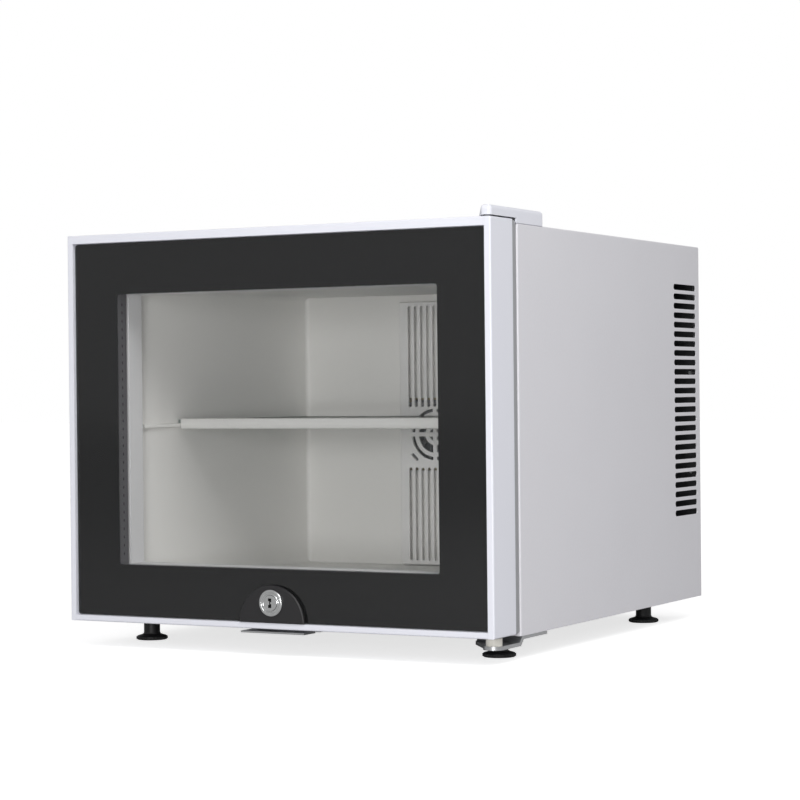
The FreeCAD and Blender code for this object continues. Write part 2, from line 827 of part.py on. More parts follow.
GLAND_SPOT = (f"({HALF} - gland_inset)", "(standing_height + gland_rise)")


def make_cord_gland():
    """Snap-in gland for a supply cord, held by its collar outside and its barbs inside."""
    body = new_body("cord_gland")
    disc(body, "XZ", f"{REAR} + cover_gauge", "gland_collar", [GLAND_SPOT], "gland_radius")
    inner = f"({REAR} + cover_gauge - gland_barrel_length)"
    disc(body, "XZ", inner, "gland_barrel_length", [GLAND_SPOT], "gland_barrel_radius")
    barbs = "(gland_barrel_radius + gland_snap)"
    disc(body, "XZ", f"{REAR} - gland_snap_length", "gland_snap_length", [GLAND_SPOT], barbs)
    whole = "gland_barrel_length + gland_collar"
    disc(body, "XZ", inner, whole, [GLAND_SPOT], "gland_bore_radius", cut=True)
    finish(body, "cord_gland")


# Shelf


def make_shelf():
    """Glass plate carried by the liner's ledges, with a moulded trim along its front."""
    plate = new_body("shelf_plate")
    half = f"({INNER_HALF} - shelf_side_clearance)"
    front = f"({SHELF_FRONT} + shelf_trim_front)"
    block(plate, "XY", SHELF_LOW, "shelf_gauge", [(f"-{half}", front, half, SHELF_BACK)])
    finish(plate, "shelf_plate")

    trim = new_body("shelf_trim")
    half = f"({INNER_HALF} - ledge_width - shelf_side_clearance)"
    high = f"({SHELF_LOW} + shelf_gauge + seat_clearance + duct_wall / 2)"
    low = f"({high} - shelf_trim_height)"
    back = f"({SHELF_FRONT} + shelf_trim_depth)"
    block(trim, "XY", low, "shelf_trim_height", [(f"-{half}", SHELF_FRONT, half, back)])
    block(
        trim,
        "XY",
        f"{SHELF_LOW} - seat_clearance",
        "shelf_gauge + 2 * seat_clearance",
        [(f"-{half}", f"{front} - seat_clearance", half, back)],
        cut=True,
    )
    finish(trim, "shelf_trim")


# Cooler module

SINK_SCREWS = [
    (
        f"({COOLER_X} + {side} * (hot_sink_width + hot_fin_span) / 4)",
        f"({MODULE_Z} + {level} * (hot_sink_height / 2 - screw_head_radius - standoff_radius))",
    )
    for side in (-1, 1)
    for level in (-1, 1)
]


def make_fan_cover():
    """Moulded air duct cover with two banks of upright slots and a round fan grille between."""
    body = new_body("fan_cover")
    half = "(duct_width / 2)"
    low, high = f"({INNER_LOW} + duct_rise)", f"({INNER_HIGH} - duct_top_gap)"
    block(body, "XZ", DUCT_FRONT, "duct_depth", [(f"-{half}", low, half, high)])
    front = value(DUCT_FRONT)
    soften(body, "duct_edge_radius", lambda box: near(box.YMin, front) and near(box.YMax, front))
    hollow = f"({half} - duct_wall)"
    block(
        body,
        "XZ",
        f"{DUCT_FRONT} + duct_wall",
        "duct_depth - duct_wall",
        [(f"-{hollow}", f"{low} + duct_wall", hollow, f"{high} - duct_wall")],
        cut=True,
    )
    sketch = new_sketch(body, "XZ", DUCT_FRONT)
    first = "(-duct_slot_pitch * (duct_slot_count - 1) / 2)"
    grille = "(grille_radius + duct_slot_gap)"
    for start, stop in (
        (f"({low} + duct_slot_margin)", f"({MODULE_Z} - {grille} - duct_slot_step)"),
        (f"({MODULE_Z} + {grille})", f"({high} - duct_slot_margin)"),
    ):
        middle, length = f"(({start} + {stop}) / 2)", f"({stop} - {start})"
        slot(sketch, first, middle, length, "duct_slot_width", upright=True)
    slots = extrude(body, sketch, "XZ", "duct_wall", cut=True)
    repeat_line(body, slots, "X_Axis", "duct_slot_pitch * (duct_slot_count - 1)", "duct_slot_count")
    centre = ("0", MODULE_Z)
    disc(body, "XZ", DUCT_FRONT, "duct_wall", [centre], "grille_radius", cut=True)
    arm, bar = "(grille_radius + grille_bar / 2)", "(grille_bar / 2)"
    level = [(f"-{arm}", f"{MODULE_Z} - {bar}", arm, f"{MODULE_Z} + {bar}")]
    upright = [(f"-{bar}", f"{MODULE_Z} - {arm}", bar, f"{MODULE_Z} + {arm}")]
    block(body, "XZ", DUCT_FRONT, "duct_wall", level)
    block(body, "XZ", DUCT_FRONT, "duct_wall", upright)
    for radius in ("grille_ring_inner", "grille_ring_outer"):
        sketch = new_sketch(body, "XZ", DUCT_FRONT)
        circle(sketch, *centre, f"{radius} + {bar}")
        circle(sketch, *centre, f"{radius} - {bar}")
        extrude(body, sketch, "XZ", "duct_wall")
    sketch = new_sketch(body, "XZ", DUCT_FRONT, "45 deg")
    across, up = f"({MODULE_Z} * sin(45 deg))", f"({MODULE_Z} * cos(45 deg))"
    beside, below = f"({across} - grille_corner_radius)", f"({up} - grille_corner_radius)"
    slot(sketch, beside, up, "grille_corner_length", "grille_corner_width", upright=True)
    slot(sketch, across, below, "grille_corner_length", "grille_corner_width")
    extrude(body, sketch, "XZ", "duct_wall", cut=True)
    finish(body, "fan_cover", x=COOLER_X)


def make_fan(name, front):
    """A square axial fan: a frame with a strutted motor hub, and an impeller on its shaft."""
    size, depth, hub = f"{name}_size", f"{name}_depth", f"{name}_hub"
    bore = f"({size} / 2 - fan_wall)"
    frame_body = new_body(f"{name}_frame")
    half = f"({size} / 2)"
    block(frame_body, "XZ", "0", depth, [(f"-{half}", f"-{half}", half, half)])
    disc(frame_body, "XZ", "0", depth, [("0", "0")], bore, cut=True)
    arm, bar = f"({size} / 2 - fan_wall / 2)", "(fan_strut / 2)"
    seat = f"{depth} - fan_back"
    block(frame_body, "XZ", seat, "fan_back", [(f"-{arm}", f"-{bar}", arm, bar)])
    block(frame_body, "XZ", seat, "fan_back", [(f"-{bar}", f"-{arm}", bar, arm)])
    disc(frame_body, "XZ", seat, "fan_back", [("0", "0")], hub)
    shaft_bore = "(fan_shaft_radius + running_clearance)"
    disc(frame_body, "XZ", seat, "fan_back", [("0", "0")], shaft_bore, cut=True)
    hole = f"({size} / 2 - fan_wall - screw_shank_radius)"
    holes = [(f"({a} * {hole})", f"({b} * {hole})") for a in (-1, 1) for b in (-1, 1)]
    disc(frame_body, "XZ", "0", depth, holes, SCREW_HOLE, cut=True)
    finish(frame_body, f"{name}_frame", x=COOLER_X, y=front, z=MODULE_Z)

    impeller = new_body(f"{name}_impeller")
    room = f"({depth} - fan_back - slide_clearance - fan_front_room)"
    disc(impeller, "XZ", "fan_front_room", room, [("0", "0")], hub)
    sketch = new_sketch(impeller, "YZ", f"{hub} - fan_blade_gauge", "fan_blade_pitch")
    chord = f"({room} / 2 / cos(fan_blade_pitch) - fan_blade_gauge)"
    middle = f"(fan_front_room + {room} / 2)"
    across, along = f"({middle} * cos(fan_blade_pitch))", f"(-{middle} * sin(fan_blade_pitch))"
    rectangle(
        sketch,
        f"{across} - {chord}",
        f"{along} - fan_blade_gauge / 2",
        f"{across} + {chord}",
        f"{along} + fan_blade_gauge / 2",
    )
    tip = f"({bore} - fan_tip_clearance)"
    side = f"({chord} * sin(fan_blade_pitch) + fan_blade_gauge)"
    reach = f"(sqrt({tip} ^ 2 - {side} ^ 2) - {hub} + fan_blade_gauge)"
    blade = extrude(impeller, sketch, "YZ", reach)
    repeat_round(impeller, blade, "Y_Axis", "fan_blade_count")
    shaft = "fan_back + slide_clearance"
    disc(impeller, "XZ", f"fan_front_room + {room}", shaft, [("0", "0")], "fan_shaft_radius")
    finish(impeller, f"{name}_impeller", x=COOLER_X, y=front, z=MODULE_Z)


def make_cold_side():
    """Finned cold sink, spacer block, thermoelectric module and the seal around them."""
    sink = new_body("cold_heat_sink")
    block(sink, "XZ", COLD_BASE_FRONT, "cold_sink_base", [centred("cold_sink_size")])
    left, low, _, high = centred("cold_sink_size")
    front = f"{COLD_BASE_FRONT} - cold_fin_length"
    fin = block(sink, "XZ", front, "cold_fin_length", [(left, low, f"{left} + cold_fin_gauge", high)])
    repeat_line(sink, fin, "X_Axis", "cold_sink_size - cold_fin_gauge", "cold_fin_count")
    finish(sink, "cold_heat_sink")

    spacer = new_body("cold_block")
    block(spacer, "XZ", BLOCK_FRONT, "cold_block_depth", [centred("module_size")])
    finish(spacer, "cold_block")

    module = new_body("peltier_module")
    block(module, "XZ", PELTIER_FRONT, "peltier_depth", [centred("module_size")])
    finish(module, "peltier_module")

    seal = new_body("module_seal")
    gap = "(module_size + 2 * module_seal_play)"
    block(
        seal,
        "XZ",
        BLOCK_FRONT,
        f"{BULKHEAD} - {BLOCK_FRONT}",
        [centred("module_seal_size"), centred(gap)],
    )
    finish(seal, "module_seal")


def make_hot_sink():
    """Extruded hot-side heat sink, screwed to the bulkhead at its four corners."""
    sink = new_body("hot_heat_sink")
    block(sink, "XZ", HOT_BASE, "hot_sink_base", [centred("hot_sink_width", "hot_sink_height")])
    block(sink, "XZ", BULKHEAD, "steel_gauge", [centred("(module_size + 2 * pedestal_play)")])
    left, low, _, high = centred("hot_fin_span", "hot_sink_height")
    fin = block(sink, "XZ", HOT_FIN_FRONT, "hot_fin_length", [(left, low, f"{left} + hot_fin_gauge", high)])
    repeat_line(sink, fin, "X_Axis", "hot_fin_span - hot_fin_gauge", "hot_fin_count")
    disc(sink, "XZ", HOT_BASE, "hot_sink_base", SINK_SCREWS, SCREW_HOLE, cut=True)
    finish(sink, "hot_heat_sink")
    length = "(hot_sink_base + steel_gauge)"
    group("hot_sink_screws", [screw(x, HOT_FIN_FRONT, z, "back", length) for x, z in SINK_SCREWS])


# Power supply and sensor


def make_power_supply():
    """Supply board on standoffs behind the bulkhead, with its transformer and capacitors."""
    left, low = f"(board_side_gap - {HALF})", "(standing_height + board_rise)"
    right = f"({COOLER_X} - hot_sink_width / 2 - board_sink_gap)"
    high = f"({low} + board_height)"
    face = f"({HOT_BASE} + board_standoff)"
    board = new_body("power_board")
    block(board, "XZ", face, "board_gauge", [(left, low, right, high)])
    finish(board, "power_board")

    corners = [
        (x, z)
        for x in (f"({left} + standoff_inset)", f"({right} - standoff_inset)")
        for z in (f"({low} + standoff_inset)", f"({high} - standoff_inset)")
    ]
    posts = [cylinder("standoff_radius", "board_standoff", x, HOT_BASE, z, "back") for x, z in corners]
    group("board_standoffs", posts)

    back = f"({face} + board_gauge)"
    middle = f"(({left} + {right}) / 2)"
    parts = new_body("board_components")
    half, foot = "(transformer_width / 2)", f"({low} + 2 * standoff_inset)"
    block(
        parts,
        "XZ",
        back,
        "transformer_depth",
        [(f"{middle} - {half}", foot, f"{middle} + {half}", f"{foot} + transformer_height")],
    )
    level = f"({high} - 2 * standoff_inset - capacitor_radius)"
    cans = [(f"({middle} + {k} * capacitor_pitch)", level) for k in (-1, 0, 1)]
    disc(parts, "XZ", back, "capacitor_length", cans, "capacitor_radius")
    finish(parts, "board_components")

    sensor = new_body("temperature_sensor")
    behind = f"({INNER_BACK} - sensor_radius - sensor_clip)"
    start = f"({INNER_HIGH} - sensor_drop)"
    across = f"({COOLER_X} + sensor_offset)"
    disc(
        sensor,
        "XY",
        start,
        "sensor_length",
        [(across, behind)],
        "sensor_radius",
    )
    clip = "(sensor_radius / 2)"
    block(
        sensor,
        "XZ",
        behind,
        f"{INNER_BACK} - {behind}",
        [
            (
                f"{across} - {clip}",
                start,
                f"{across} + {clip}",
                f"{start} + sensor_length / 2",
            )
        ],
    )
    finish(sensor, "temperature_sensor")


# Hinges


def cover_side(y, room):
    """Where the hinge cover's slanting inner wall runs at a depth, moved right by a room."""
    run = "(hinge_cover_length - 2 * hinge_cover_tip - hinge_cover_wall)"
    slope = f"((hinge_cover_rear - hinge_cover_tip) / {run})"
    start = f"({DOOR_HALF} - hinge_cover_tip + hinge_cover_wall + {room})"
    return f"({start} - {slope} * ({y} - hinge_cover_wall))"


def make_top_hinge():
    """Joggled top plate with its riveted pin, two screws and the wedge-shaped cover."""
    end = TOP_PLATE_END
    arm_low = f"({DOOR_HIGH} + top_lift)"
    arm_high = f"({arm_low} + top_plate_gauge)"
    foot_high = f"({CEILING} + top_plate_gauge)"
    tip = "(hinge_setback - hinge_end_radius)"
    step = f"({FRONT} + top_plate_gauge + top_lift)"
    plate = new_body("top_hinge_plate")
    right = f"({DOOR_HALF} - hinge_cover_wall - slide_clearance)"
    left = f"({right} - hinge_width)"
    profile = [
        (end, CEILING),
        (f"{step} - top_plate_gauge", CEILING),
        (f"{step} - top_plate_gauge", arm_low),
        (tip, arm_low),
        (tip, arm_high),
        (step, arm_high),
        (step, foot_high),
        (end, foot_high),
    ]
    outline(plate, "YZ", left, "hinge_width", profile)
    clear_low = f"{CEILING} - top_plate_gauge"
    tall = f"{arm_high} - {CEILING} + 2 * top_plate_gauge"
    ahead = f"({tip} - 1)"
    wedge = [
        (cover_side(ahead, "2 * slide_clearance"), ahead),
        (cover_side(end, "2 * slide_clearance"), end),
        (cover_side(end, "2 * slide_clearance"), ahead),
    ]
    outline(plate, "XY", clear_low, tall, wedge, cut=True)
    pin_hole = "top_pin_radius + running_clearance"
    disc(plate, "XY", clear_low, tall, [(HINGE_X, "hinge_setback")], pin_hole, cut=True)
    disc(plate, "XY", clear_low, tall, TOP_SCREWS, SCREW_HOLE, cut=True)
    finish(plate, "top_hinge_plate")

    pin = new_body("top_hinge_pin")
    foot = f"({DOOR_HIGH} - pin_depth)"
    spot = [(HINGE_X, "hinge_setback")]
    disc(pin, "XY", foot, f"{arm_high} - {foot}", spot, "top_pin_radius")
    disc(pin, "XY", arm_high, "pin_head_height", spot, "pin_head_radius")
    finish(pin, "top_hinge_pin")
    group("top_hinge_screws", [screw(x, y, foot_high, "up", "screw_shank_length") for x, y in TOP_SCREWS])

    cover = new_body("top_hinge_cover")
    low, over_door = CEILING, f"({DOOR_HIGH} + hinge_cover_lift)"
    high = f"({CEILING} + hinge_cover_height)"
    outer_left = f"({DOOR_HALF} - hinge_cover_tip)"
    rear_left = f"({DOOR_HALF} - hinge_cover_rear)"
    wall = "hinge_cover_wall"
    plan = [
        (outer_left, "0"),
        (DOOR_HALF, "0"),
        (DOOR_HALF, "hinge_cover_length"),
        (rear_left, "hinge_cover_length"),
        (rear_left, "hinge_cover_length - 2 * hinge_cover_tip"),
    ]
    outline(cover, "XY", low, "hinge_cover_height", plan)
    top, half = value(high), value(DOOR_HALF)
    soften(
        cover,
        "hinge_cover_radius",
        lambda box: near(box.ZMin, top) or (near(box.YMin, box.YMax) and near(box.XMin, box.XMax)),
    )
    inside = [
        (f"{outer_left} + {wall}", wall),
        (f"{DOOR_HALF} - {wall}", wall),
        (f"{DOOR_HALF} - {wall}", f"hinge_cover_length - {wall}"),
        (f"{rear_left} + {wall}", f"hinge_cover_length - {wall}"),
        (f"{rear_left} + {wall}", "hinge_cover_length - 2 * hinge_cover_tip"),
    ]
    outline(cover, "XY", low, f"hinge_cover_height - {wall}", inside, cut=True)
    block(
        cover,
        "XY",
        low,
        f"{over_door} - {low}",
        [(f"{rear_left} - 1", "-1", f"{DOOR_HALF} + 1", f"{FRONT} - hinge_cover_lift")],
        cut=True,
    )
    finish(cover, "top_hinge_cover")


def make_lower_hinge():
    """Joggled bracket under the cabinet with its pin, a spacer and two screws."""
    foot_low = f"({BASE} - low_plate_gauge)"
    arm_high = f"({BASE} - low_plate_drop)"
    arm_low = f"({arm_high} - low_plate_gauge)"
    tip = "(hinge_setback - hinge_end_radius)"
    ramp = f"({FRONT} + low_plate_gauge)"
    bracket = new_body("lower_hinge_bracket")
    right = f"({HINGE_X} + hinge_end_radius)"
    left = f"({right} - hinge_width)"
    profile = [
        (tip, arm_low),
        (ramp, arm_low),
        (f"{ramp} + low_plate_drop", foot_low),
        (LOW_PLATE_END, foot_low),
        (LOW_PLATE_END, BASE),
        (f"{ramp} + low_plate_drop / 2", BASE),
        (f"{ramp} - low_plate_drop / 2", arm_high),
        (tip, arm_high),
    ]
    outline(bracket, "YZ", left, "hinge_width", profile)
    wedge = [
        (f"{left} - 1", f"{tip} - 1"),
        (f"{HINGE_X} - hinge_end_radius", f"{tip} - 1"),
        (f"{HINGE_X} - hinge_end_radius", "hinge_setback"),
        (f"{left} - 1", f"{FRONT}"),
    ]
    outline(bracket, "XY", f"{arm_low} - 1", "low_plate_drop + low_plate_gauge + 2", wedge, cut=True)
    front = value(tip)
    soften(
        bracket,
        "hinge_end_radius - slide_clearance",
        lambda box: near(box.YMin, front) and near(box.YMax, front) and near(box.XMin, box.XMax),
    )
    through = f"{arm_low} - 1"
    tall = "low_plate_drop + low_plate_gauge + 2"
    spot = [(HINGE_X, "hinge_setback")]
    disc(bracket, "XY", through, tall, spot, "low_pin_radius + running_clearance", cut=True)
    disc(bracket, "XY", through, tall, LOW_SCREWS, SCREW_HOLE, cut=True)
    stud = [FOOT_SPOTS["foot_front_right"]]
    disc(bracket, "XY", through, tall, stud, "foot_stud_radius + slide_clearance", cut=True)
    finish(bracket, "lower_hinge_bracket")

    pin = new_body("lower_hinge_pin")
    disc(pin, "XY", arm_low, f"{DOOR_LOW} + pin_depth - {arm_low}", spot, "low_pin_radius")
    finish(pin, "lower_hinge_pin")

    spacer = new_body("lower_hinge_spacer")
    top = f"({DOOR_LOW} - bush_flange_height - low_spacer_room)"
    disc(spacer, "XY", arm_high, f"{top} - {arm_high}", spot, "low_spacer_radius")
    disc(spacer, "XY", arm_high, f"{top} - {arm_high}", spot, "low_pin_radius + running_clearance", cut=True)
    finish(spacer, "lower_hinge_spacer")


def make_lock_keeper():
    """Flat steel strap under the cabinet whose side notch catches the lock's cam."""
    body = new_body("lock_keeper")
    low = f"({BASE} - keeper_gauge)"
    half = "(keeper_width / 2)"
    block(body, "XY", low, "keeper_gauge", [(f"-{half}", "0", half, "keeper_reach")])
    cam_slot(body, low, "keeper_gauge", f"({half} + 1)")
    disc(body, "XY", low, "keeper_gauge", KEEPER_SCREWS, SCREW_HOLE, cut=True)
    finish(body, "lock_keeper")
    screws = [screw(x, y, low, "down", "screw_shank_length") for x, y in KEEPER_SCREWS]
    foot_low = f"({BASE} - low_plate_gauge)"
    screws += [screw(x, y, foot_low, "down", "screw_shank_length") for x, y in LOW_SCREWS]
    group("underside_screws", screws)


def make_feet():
    """Four screw feet and the nuts that they turn in."""
    for label, (x, y) in FOOT_SPOTS.items():
        body = new_body(label)
        profile = [
            ("0", "0"),
            ("foot_pad_radius", "0"),
            ("foot_pad_radius", "foot_pad_height / 2"),
            ("foot_neck_radius", "foot_pad_height"),
            ("foot_neck_radius", "foot_neck_height"),
            ("foot_stud_radius", "foot_neck_height"),
            ("foot_stud_radius", "foot_neck_height + foot_stud_length"),
            ("0", "foot_neck_height + foot_stud_length"),
        ]
        revolve(body, profile)
        finish(body, label, x=x, y=y)
    nuts = new_body("foot_nuts")
    disc(nuts, "XY", PLATE_TOP, "foot_nut_height", FOOT_SPOTS.values(), "foot_nut_radius")
    bore = "(foot_stud_radius + running_clearance)"
    disc(nuts, "XY", PLATE_TOP, "foot_nut_height", FOOT_SPOTS.values(), bore, cut=True)
    finish(nuts, "foot_nuts")


# Door


def make_stiles():
    """Full-height side profiles of the door frame: outer wall, front lip and glass seat."""
    for label, side in (("door_stile_left", "-"), ("door_stile_right", "")):
        body = new_body(label)

        def edge(inset):
            return f"{side}({DOOR_HALF} - {inset})"

        profile = [
            (edge("0"), "0"),
            (edge("0"), "door_depth"),
            (edge("frame_wall"), "door_depth"),
            (edge("frame_wall"), SEAT_BACK),
            (edge("seat_width"), SEAT_BACK),
            (edge("seat_width"), GLASS_BACK),
            (edge("lip_side"), GLASS_BACK),
            (edge("lip_side"), "0"),
        ]
        outline(body, "XY", DOOR_LOW, f"{DOOR_HIGH} - {DOOR_LOW}", profile)
        half = value(DOOR_HALF)
        soften(body, "frame_edge_radius", lambda box: near(abs(box.XMin), half) and near(box.XMin, box.XMax))
        finish(body, label)


def make_rails():
    """Top and bottom profiles of the door frame, coped to fit between the stiles."""
    for label, low, lip, sign in (
        ("door_rail_bottom", DOOR_LOW, "lip_bottom", "+"),
        ("door_rail_top", DOOR_HIGH, "lip_top", "-"),
    ):
        body = new_body(label)

        def band(half, height):
            far = f"{low} {sign} {height}"
            return (f"-{half}", low, half, far) if sign == "+" else (f"-{half}", far, half, low)

        block(body, "XZ", "0", GLASS_BACK, [band(f"({DOOR_HALF} - lip_side)", lip)])
        edge = value(low)

        def front_edge(box):
            return near(box.YMax, 0) and near(box.ZMin, edge) and near(box.ZMax, edge)

        soften(body, "frame_edge_radius", front_edge)
        block(body, "XZ", GLASS_BACK, "seat_gauge", [band(f"({DOOR_HALF} - seat_width)", "seat_width")])
        wall = band(f"({DOOR_HALF} - frame_wall)", "frame_wall")
        block(body, "XZ", SEAT_BACK, f"door_depth - {SEAT_BACK}", [wall])
        level = f"{wall[1]}"
        pin = "low_pin_radius" if sign == "+" else "top_pin_radius"
        hole = f"({pin} + running_clearance + bush_wall + hole_clearance)"
        disc(body, "XY", level, "frame_wall", [(HINGE_X, "hinge_setback")], hole, cut=True)
        if sign == "+":
            cam_slot(body, level, "frame_wall")
            half, top = "(nut_radius + lock_tab_margin)", f"({LOCK_Z} + nut_radius + lock_tab_margin)"
            block(body, "XZ", GLASS_BACK, "seat_gauge", [(f"-{half}", low, half, top)])
            hole = "(lock_body_radius + hole_clearance)"
            disc(body, "XZ", GLASS_BACK, "seat_gauge", [("0", LOCK_Z)], hole, cut=True)
        finish(body, label)


def cam_slot(body, level, length, far="(cam_length + cam_room)"):
    """A slot through which the lock's cam turns down, long on the side that it swings from."""
    near_side = "(cam_width / 2 + cam_room)"
    front, back = f"{LOCK_BACK} - cam_room", f"{LOCK_BACK} + cam_gauge + cam_room"
    block(body, "XY", level, length, [(f"-{near_side}", front, far, back)], cut=True)


def make_glass():
    """Sealed double glazing: printed front pane, spacer, edge sealant and smaller inner pane."""
    lock = [("0", LOCK_Z)]
    lock_hole = "(lock_body_radius + glass_clearance)"
    pane = new_body("front_glass")
    whole = [(f"-{PANE_HALF}", PANE_LOW, PANE_HALF, PANE_HIGH)]
    window = (f"-{WINDOW_HALF}", WINDOW_LOW, WINDOW_HALF, WINDOW_HIGH)
    block(pane, "XZ", "glass_recess", "glass_gauge - print_gauge", whole)
    block(pane, "XZ", f"{GLASS_BACK} - print_gauge", "print_gauge", [window])
    disc(pane, "XZ", "glass_recess", "glass_gauge", lock, lock_hole, cut=True)
    finish(pane, "front_glass")

    border = new_body("glass_print")
    block(border, "XZ", f"{GLASS_BACK} - print_gauge", "print_gauge", whole + [window])
    disc(border, "XZ", f"{GLASS_BACK} - print_gauge", "print_gauge", lock, lock_hole, cut=True)
    finish(border, "glass_print")

    def unit_ring(label, inset, width):
        body = new_body(label)
        half = f"({WINDOW_HALF} + {inset} + {width})"
        low, high = f"({WINDOW_LOW} - {inset} - {width})", f"({WINDOW_HIGH} + {inset} + {width})"
        frame(body, "XZ", GLASS_BACK, "spacer_depth", half, low, high, width)
        finish(body, label)

    unit_ring("glass_spacer", "spacer_setback", "spacer_width")
    unit_ring("glass_sealant", "(spacer_setback + spacer_width)", "sealant_width")

    inner = new_body("inner_glass")
    half = f"({WINDOW_HALF} + {UNIT_REACH})"
    low, high = f"{WINDOW_LOW} - {UNIT_REACH}", f"{WINDOW_HIGH} + {UNIT_REACH}"
    block(inner, "XZ", SPACER_BACK, "inner_glass_gauge", [(f"-{half}", low, half, high)])
    finish(inner, "inner_glass")


INNER_FRAME_HALF = f"({DOOR_HALF} - frame_wall - glass_clearance)"
INNER_FRAME_LOW = f"({DOOR_LOW} + frame_wall + glass_clearance)"
INNER_FRAME_HIGH = f"({DOOR_HIGH} - frame_wall - glass_clearance)"
POCKET_HALF = f"({WINDOW_HALF} + {UNIT_REACH} + glass_clearance)"
POCKET_LOW = f"({WINDOW_LOW} - {UNIT_REACH} - glass_clearance)"
POCKET_HIGH = f"({WINDOW_HIGH} + {UNIT_REACH} + glass_clearance)"
CAVITY_BACK = "(door_depth - inner_frame_back)"


def hollow_ring(room):
    """The channel inside the inner frame, shrunk by a room all round, as two rectangles."""
    wall = f"(inner_frame_wall + {room})"
    return [
        (
            f"-({INNER_FRAME_HALF} - {wall})",
            f"{INNER_FRAME_LOW} + {wall}",
            f"({INNER_FRAME_HALF} - {wall})",
            f"{INNER_FRAME_HIGH} - {wall}",
        ),
        (
            f"-({POCKET_HALF} + {wall})",
            f"{POCKET_LOW} - {wall}",
            f"({POCKET_HALF} + {wall})",
            f"{POCKET_HIGH} + {wall}",
        ),
    ]


def clear_fittings(body, room):
    """Cuts the space for both hinge bushes, the lock and its cam out of a door piece."""
    spot = [(HINGE_X, "hinge_setback")]
    deep = "(pin_depth + bush_wall)"
    for pin, level in (("top_pin_radius", f"{DOOR_HIGH} - {deep}"), ("low_pin_radius", DOOR_LOW)):
        bush = f"({pin} + running_clearance + bush_wall + {room})"
        disc(body, "XY", level, deep, spot, bush, cut=True)
    back = f"({LOCK_BACK} + cam_gauge + plug_tail_radius + cam_room)"
    start = SEAT_BACK
    barrel = f"(nut_radius + {room})"
    disc(body, "XZ", start, f"{back} - {start}", [("0", LOCK_Z)], barrel, cut=True)


def make_inner_frame():
    """Moulded inner frame of the door, a channel open to the front, and the foam inside it."""
    body = new_body("door_inner_frame")
    opening = (
        f"-({WINDOW_HALF} + spacer_setback)",
        f"{WINDOW_LOW} - spacer_setback",
        f"({WINDOW_HALF} + spacer_setback)",
        f"{WINDOW_HIGH} + spacer_setback",
    )
    whole = (f"-{INNER_FRAME_HALF}", INNER_FRAME_LOW, INNER_FRAME_HALF, INNER_FRAME_HIGH)
    block(body, "XZ", SEAT_BACK, f"door_depth - {SEAT_BACK}", [whole, opening])
    pocket = (f"-{POCKET_HALF}", POCKET_LOW, POCKET_HALF, POCKET_HIGH)
    block(body, "XZ", SEAT_BACK, f"{UNIT_BACK} - {SEAT_BACK}", [pocket], cut=True)
    block(body, "XZ", SEAT_BACK, f"{CAVITY_BACK} - {SEAT_BACK}", hollow_ring("0"), cut=True)
    groove = "(gasket_dart + 2 * seat_clearance)"
    gasket_ring(body, "door_depth - gasket_dart_depth", "gasket_dart_depth", groove, cut=True)
    clear_fittings(body, "hole_clearance")
    cam_slot(body, INNER_FRAME_LOW, "inner_frame_wall")
    finish(body, "door_inner_frame")

    foam = new_body("door_foam")
    block(foam, "XZ", SEAT_BACK, f"{CAVITY_BACK} - {SEAT_BACK}", hollow_ring("0"))
    clear_fittings(foam, "cam_room")
    turn = "(cam_length + cam_room)"
    block(
        foam,
        "XZ",
        f"{LOCK_BACK} - cam_room",
        "cam_gauge + 2 * cam_room + plug_tail_radius",
        [(f"-{turn}", INNER_FRAME_LOW, turn, f"{LOCK_Z} + cam_width")],
        cut=True,
    )
    finish(foam, "door_foam")


def gasket_ring(body, level, length, width, cut=False):
    """A ring of some width about the middle line of the door gasket."""
    sketch = new_sketch(body, "XZ", level)
    for sign in ("+", "-"):
        grow = f"{sign} {width} / 2"
        shrink = "-" if sign == "+" else "+"
        half = f"({DOOR_HALF} - gasket_side_inset - gasket_width / 2 {grow})"
        low = f"{DOOR_LOW} + gasket_bottom_inset + gasket_width / 2 {shrink} {width} / 2"
        high = f"{DOOR_HIGH} - gasket_top_inset - gasket_width / 2 {grow}"
        rectangle(sketch, f"-{half}", low, half, high)
    return extrude(body, sketch, "XZ", length, cut)


def gasket_lip(body):
    """The flap of the gasket that covers the door's back nearly out to its edge."""
    sketch = new_sketch(body, "XZ", "door_depth")
    root = "+ gasket_side_skin / 2"
    for side, below, above in (
        ("gasket_lip_inset", "gasket_lip_inset", "gasket_lip_inset"),
        (f"(gasket_side_inset {root})", f"(gasket_bottom_inset {root})", f"(gasket_top_inset {root})"),
    ):
        half = f"({DOOR_HALF} - {side})"
        rectangle(sketch, f"-{half}", f"{DOOR_LOW} + {below}", half, f"{DOOR_HIGH} - {above}")
    return extrude(body, sketch, "XZ", "gasket_lip_gauge", False)


def make_gasket():
    """Soft magnetic seal: a channel around the magnet, a flap, and a dart pressed into the frame."""
    body = new_body("door_gasket")
    depth = "(door_gap - seal_clearance)"
    gasket_ring(body, "door_depth", depth, "gasket_width")
    hollow = "(gasket_width - 2 * gasket_side_skin)"
    pocket = f"({depth} - gasket_skin - magnet_gauge)"
    gasket_ring(body, f"door_depth + {pocket}", "magnet_gauge", hollow, cut=True)
    gasket_ring(body, "door_depth - gasket_dart_depth + seat_clearance", "gasket_dart_depth", "gasket_dart")
    gasket_lip(body)
    finish(body, "door_gasket")

    magnet = new_body("gasket_magnet")
    width = "(gasket_width - 2 * gasket_side_skin - 2 * seat_clearance)"
    gasket_ring(magnet, f"door_depth + {pocket} + seat_clearance", "magnet_gauge - 2 * seat_clearance", width)
    finish(magnet, "gasket_magnet")


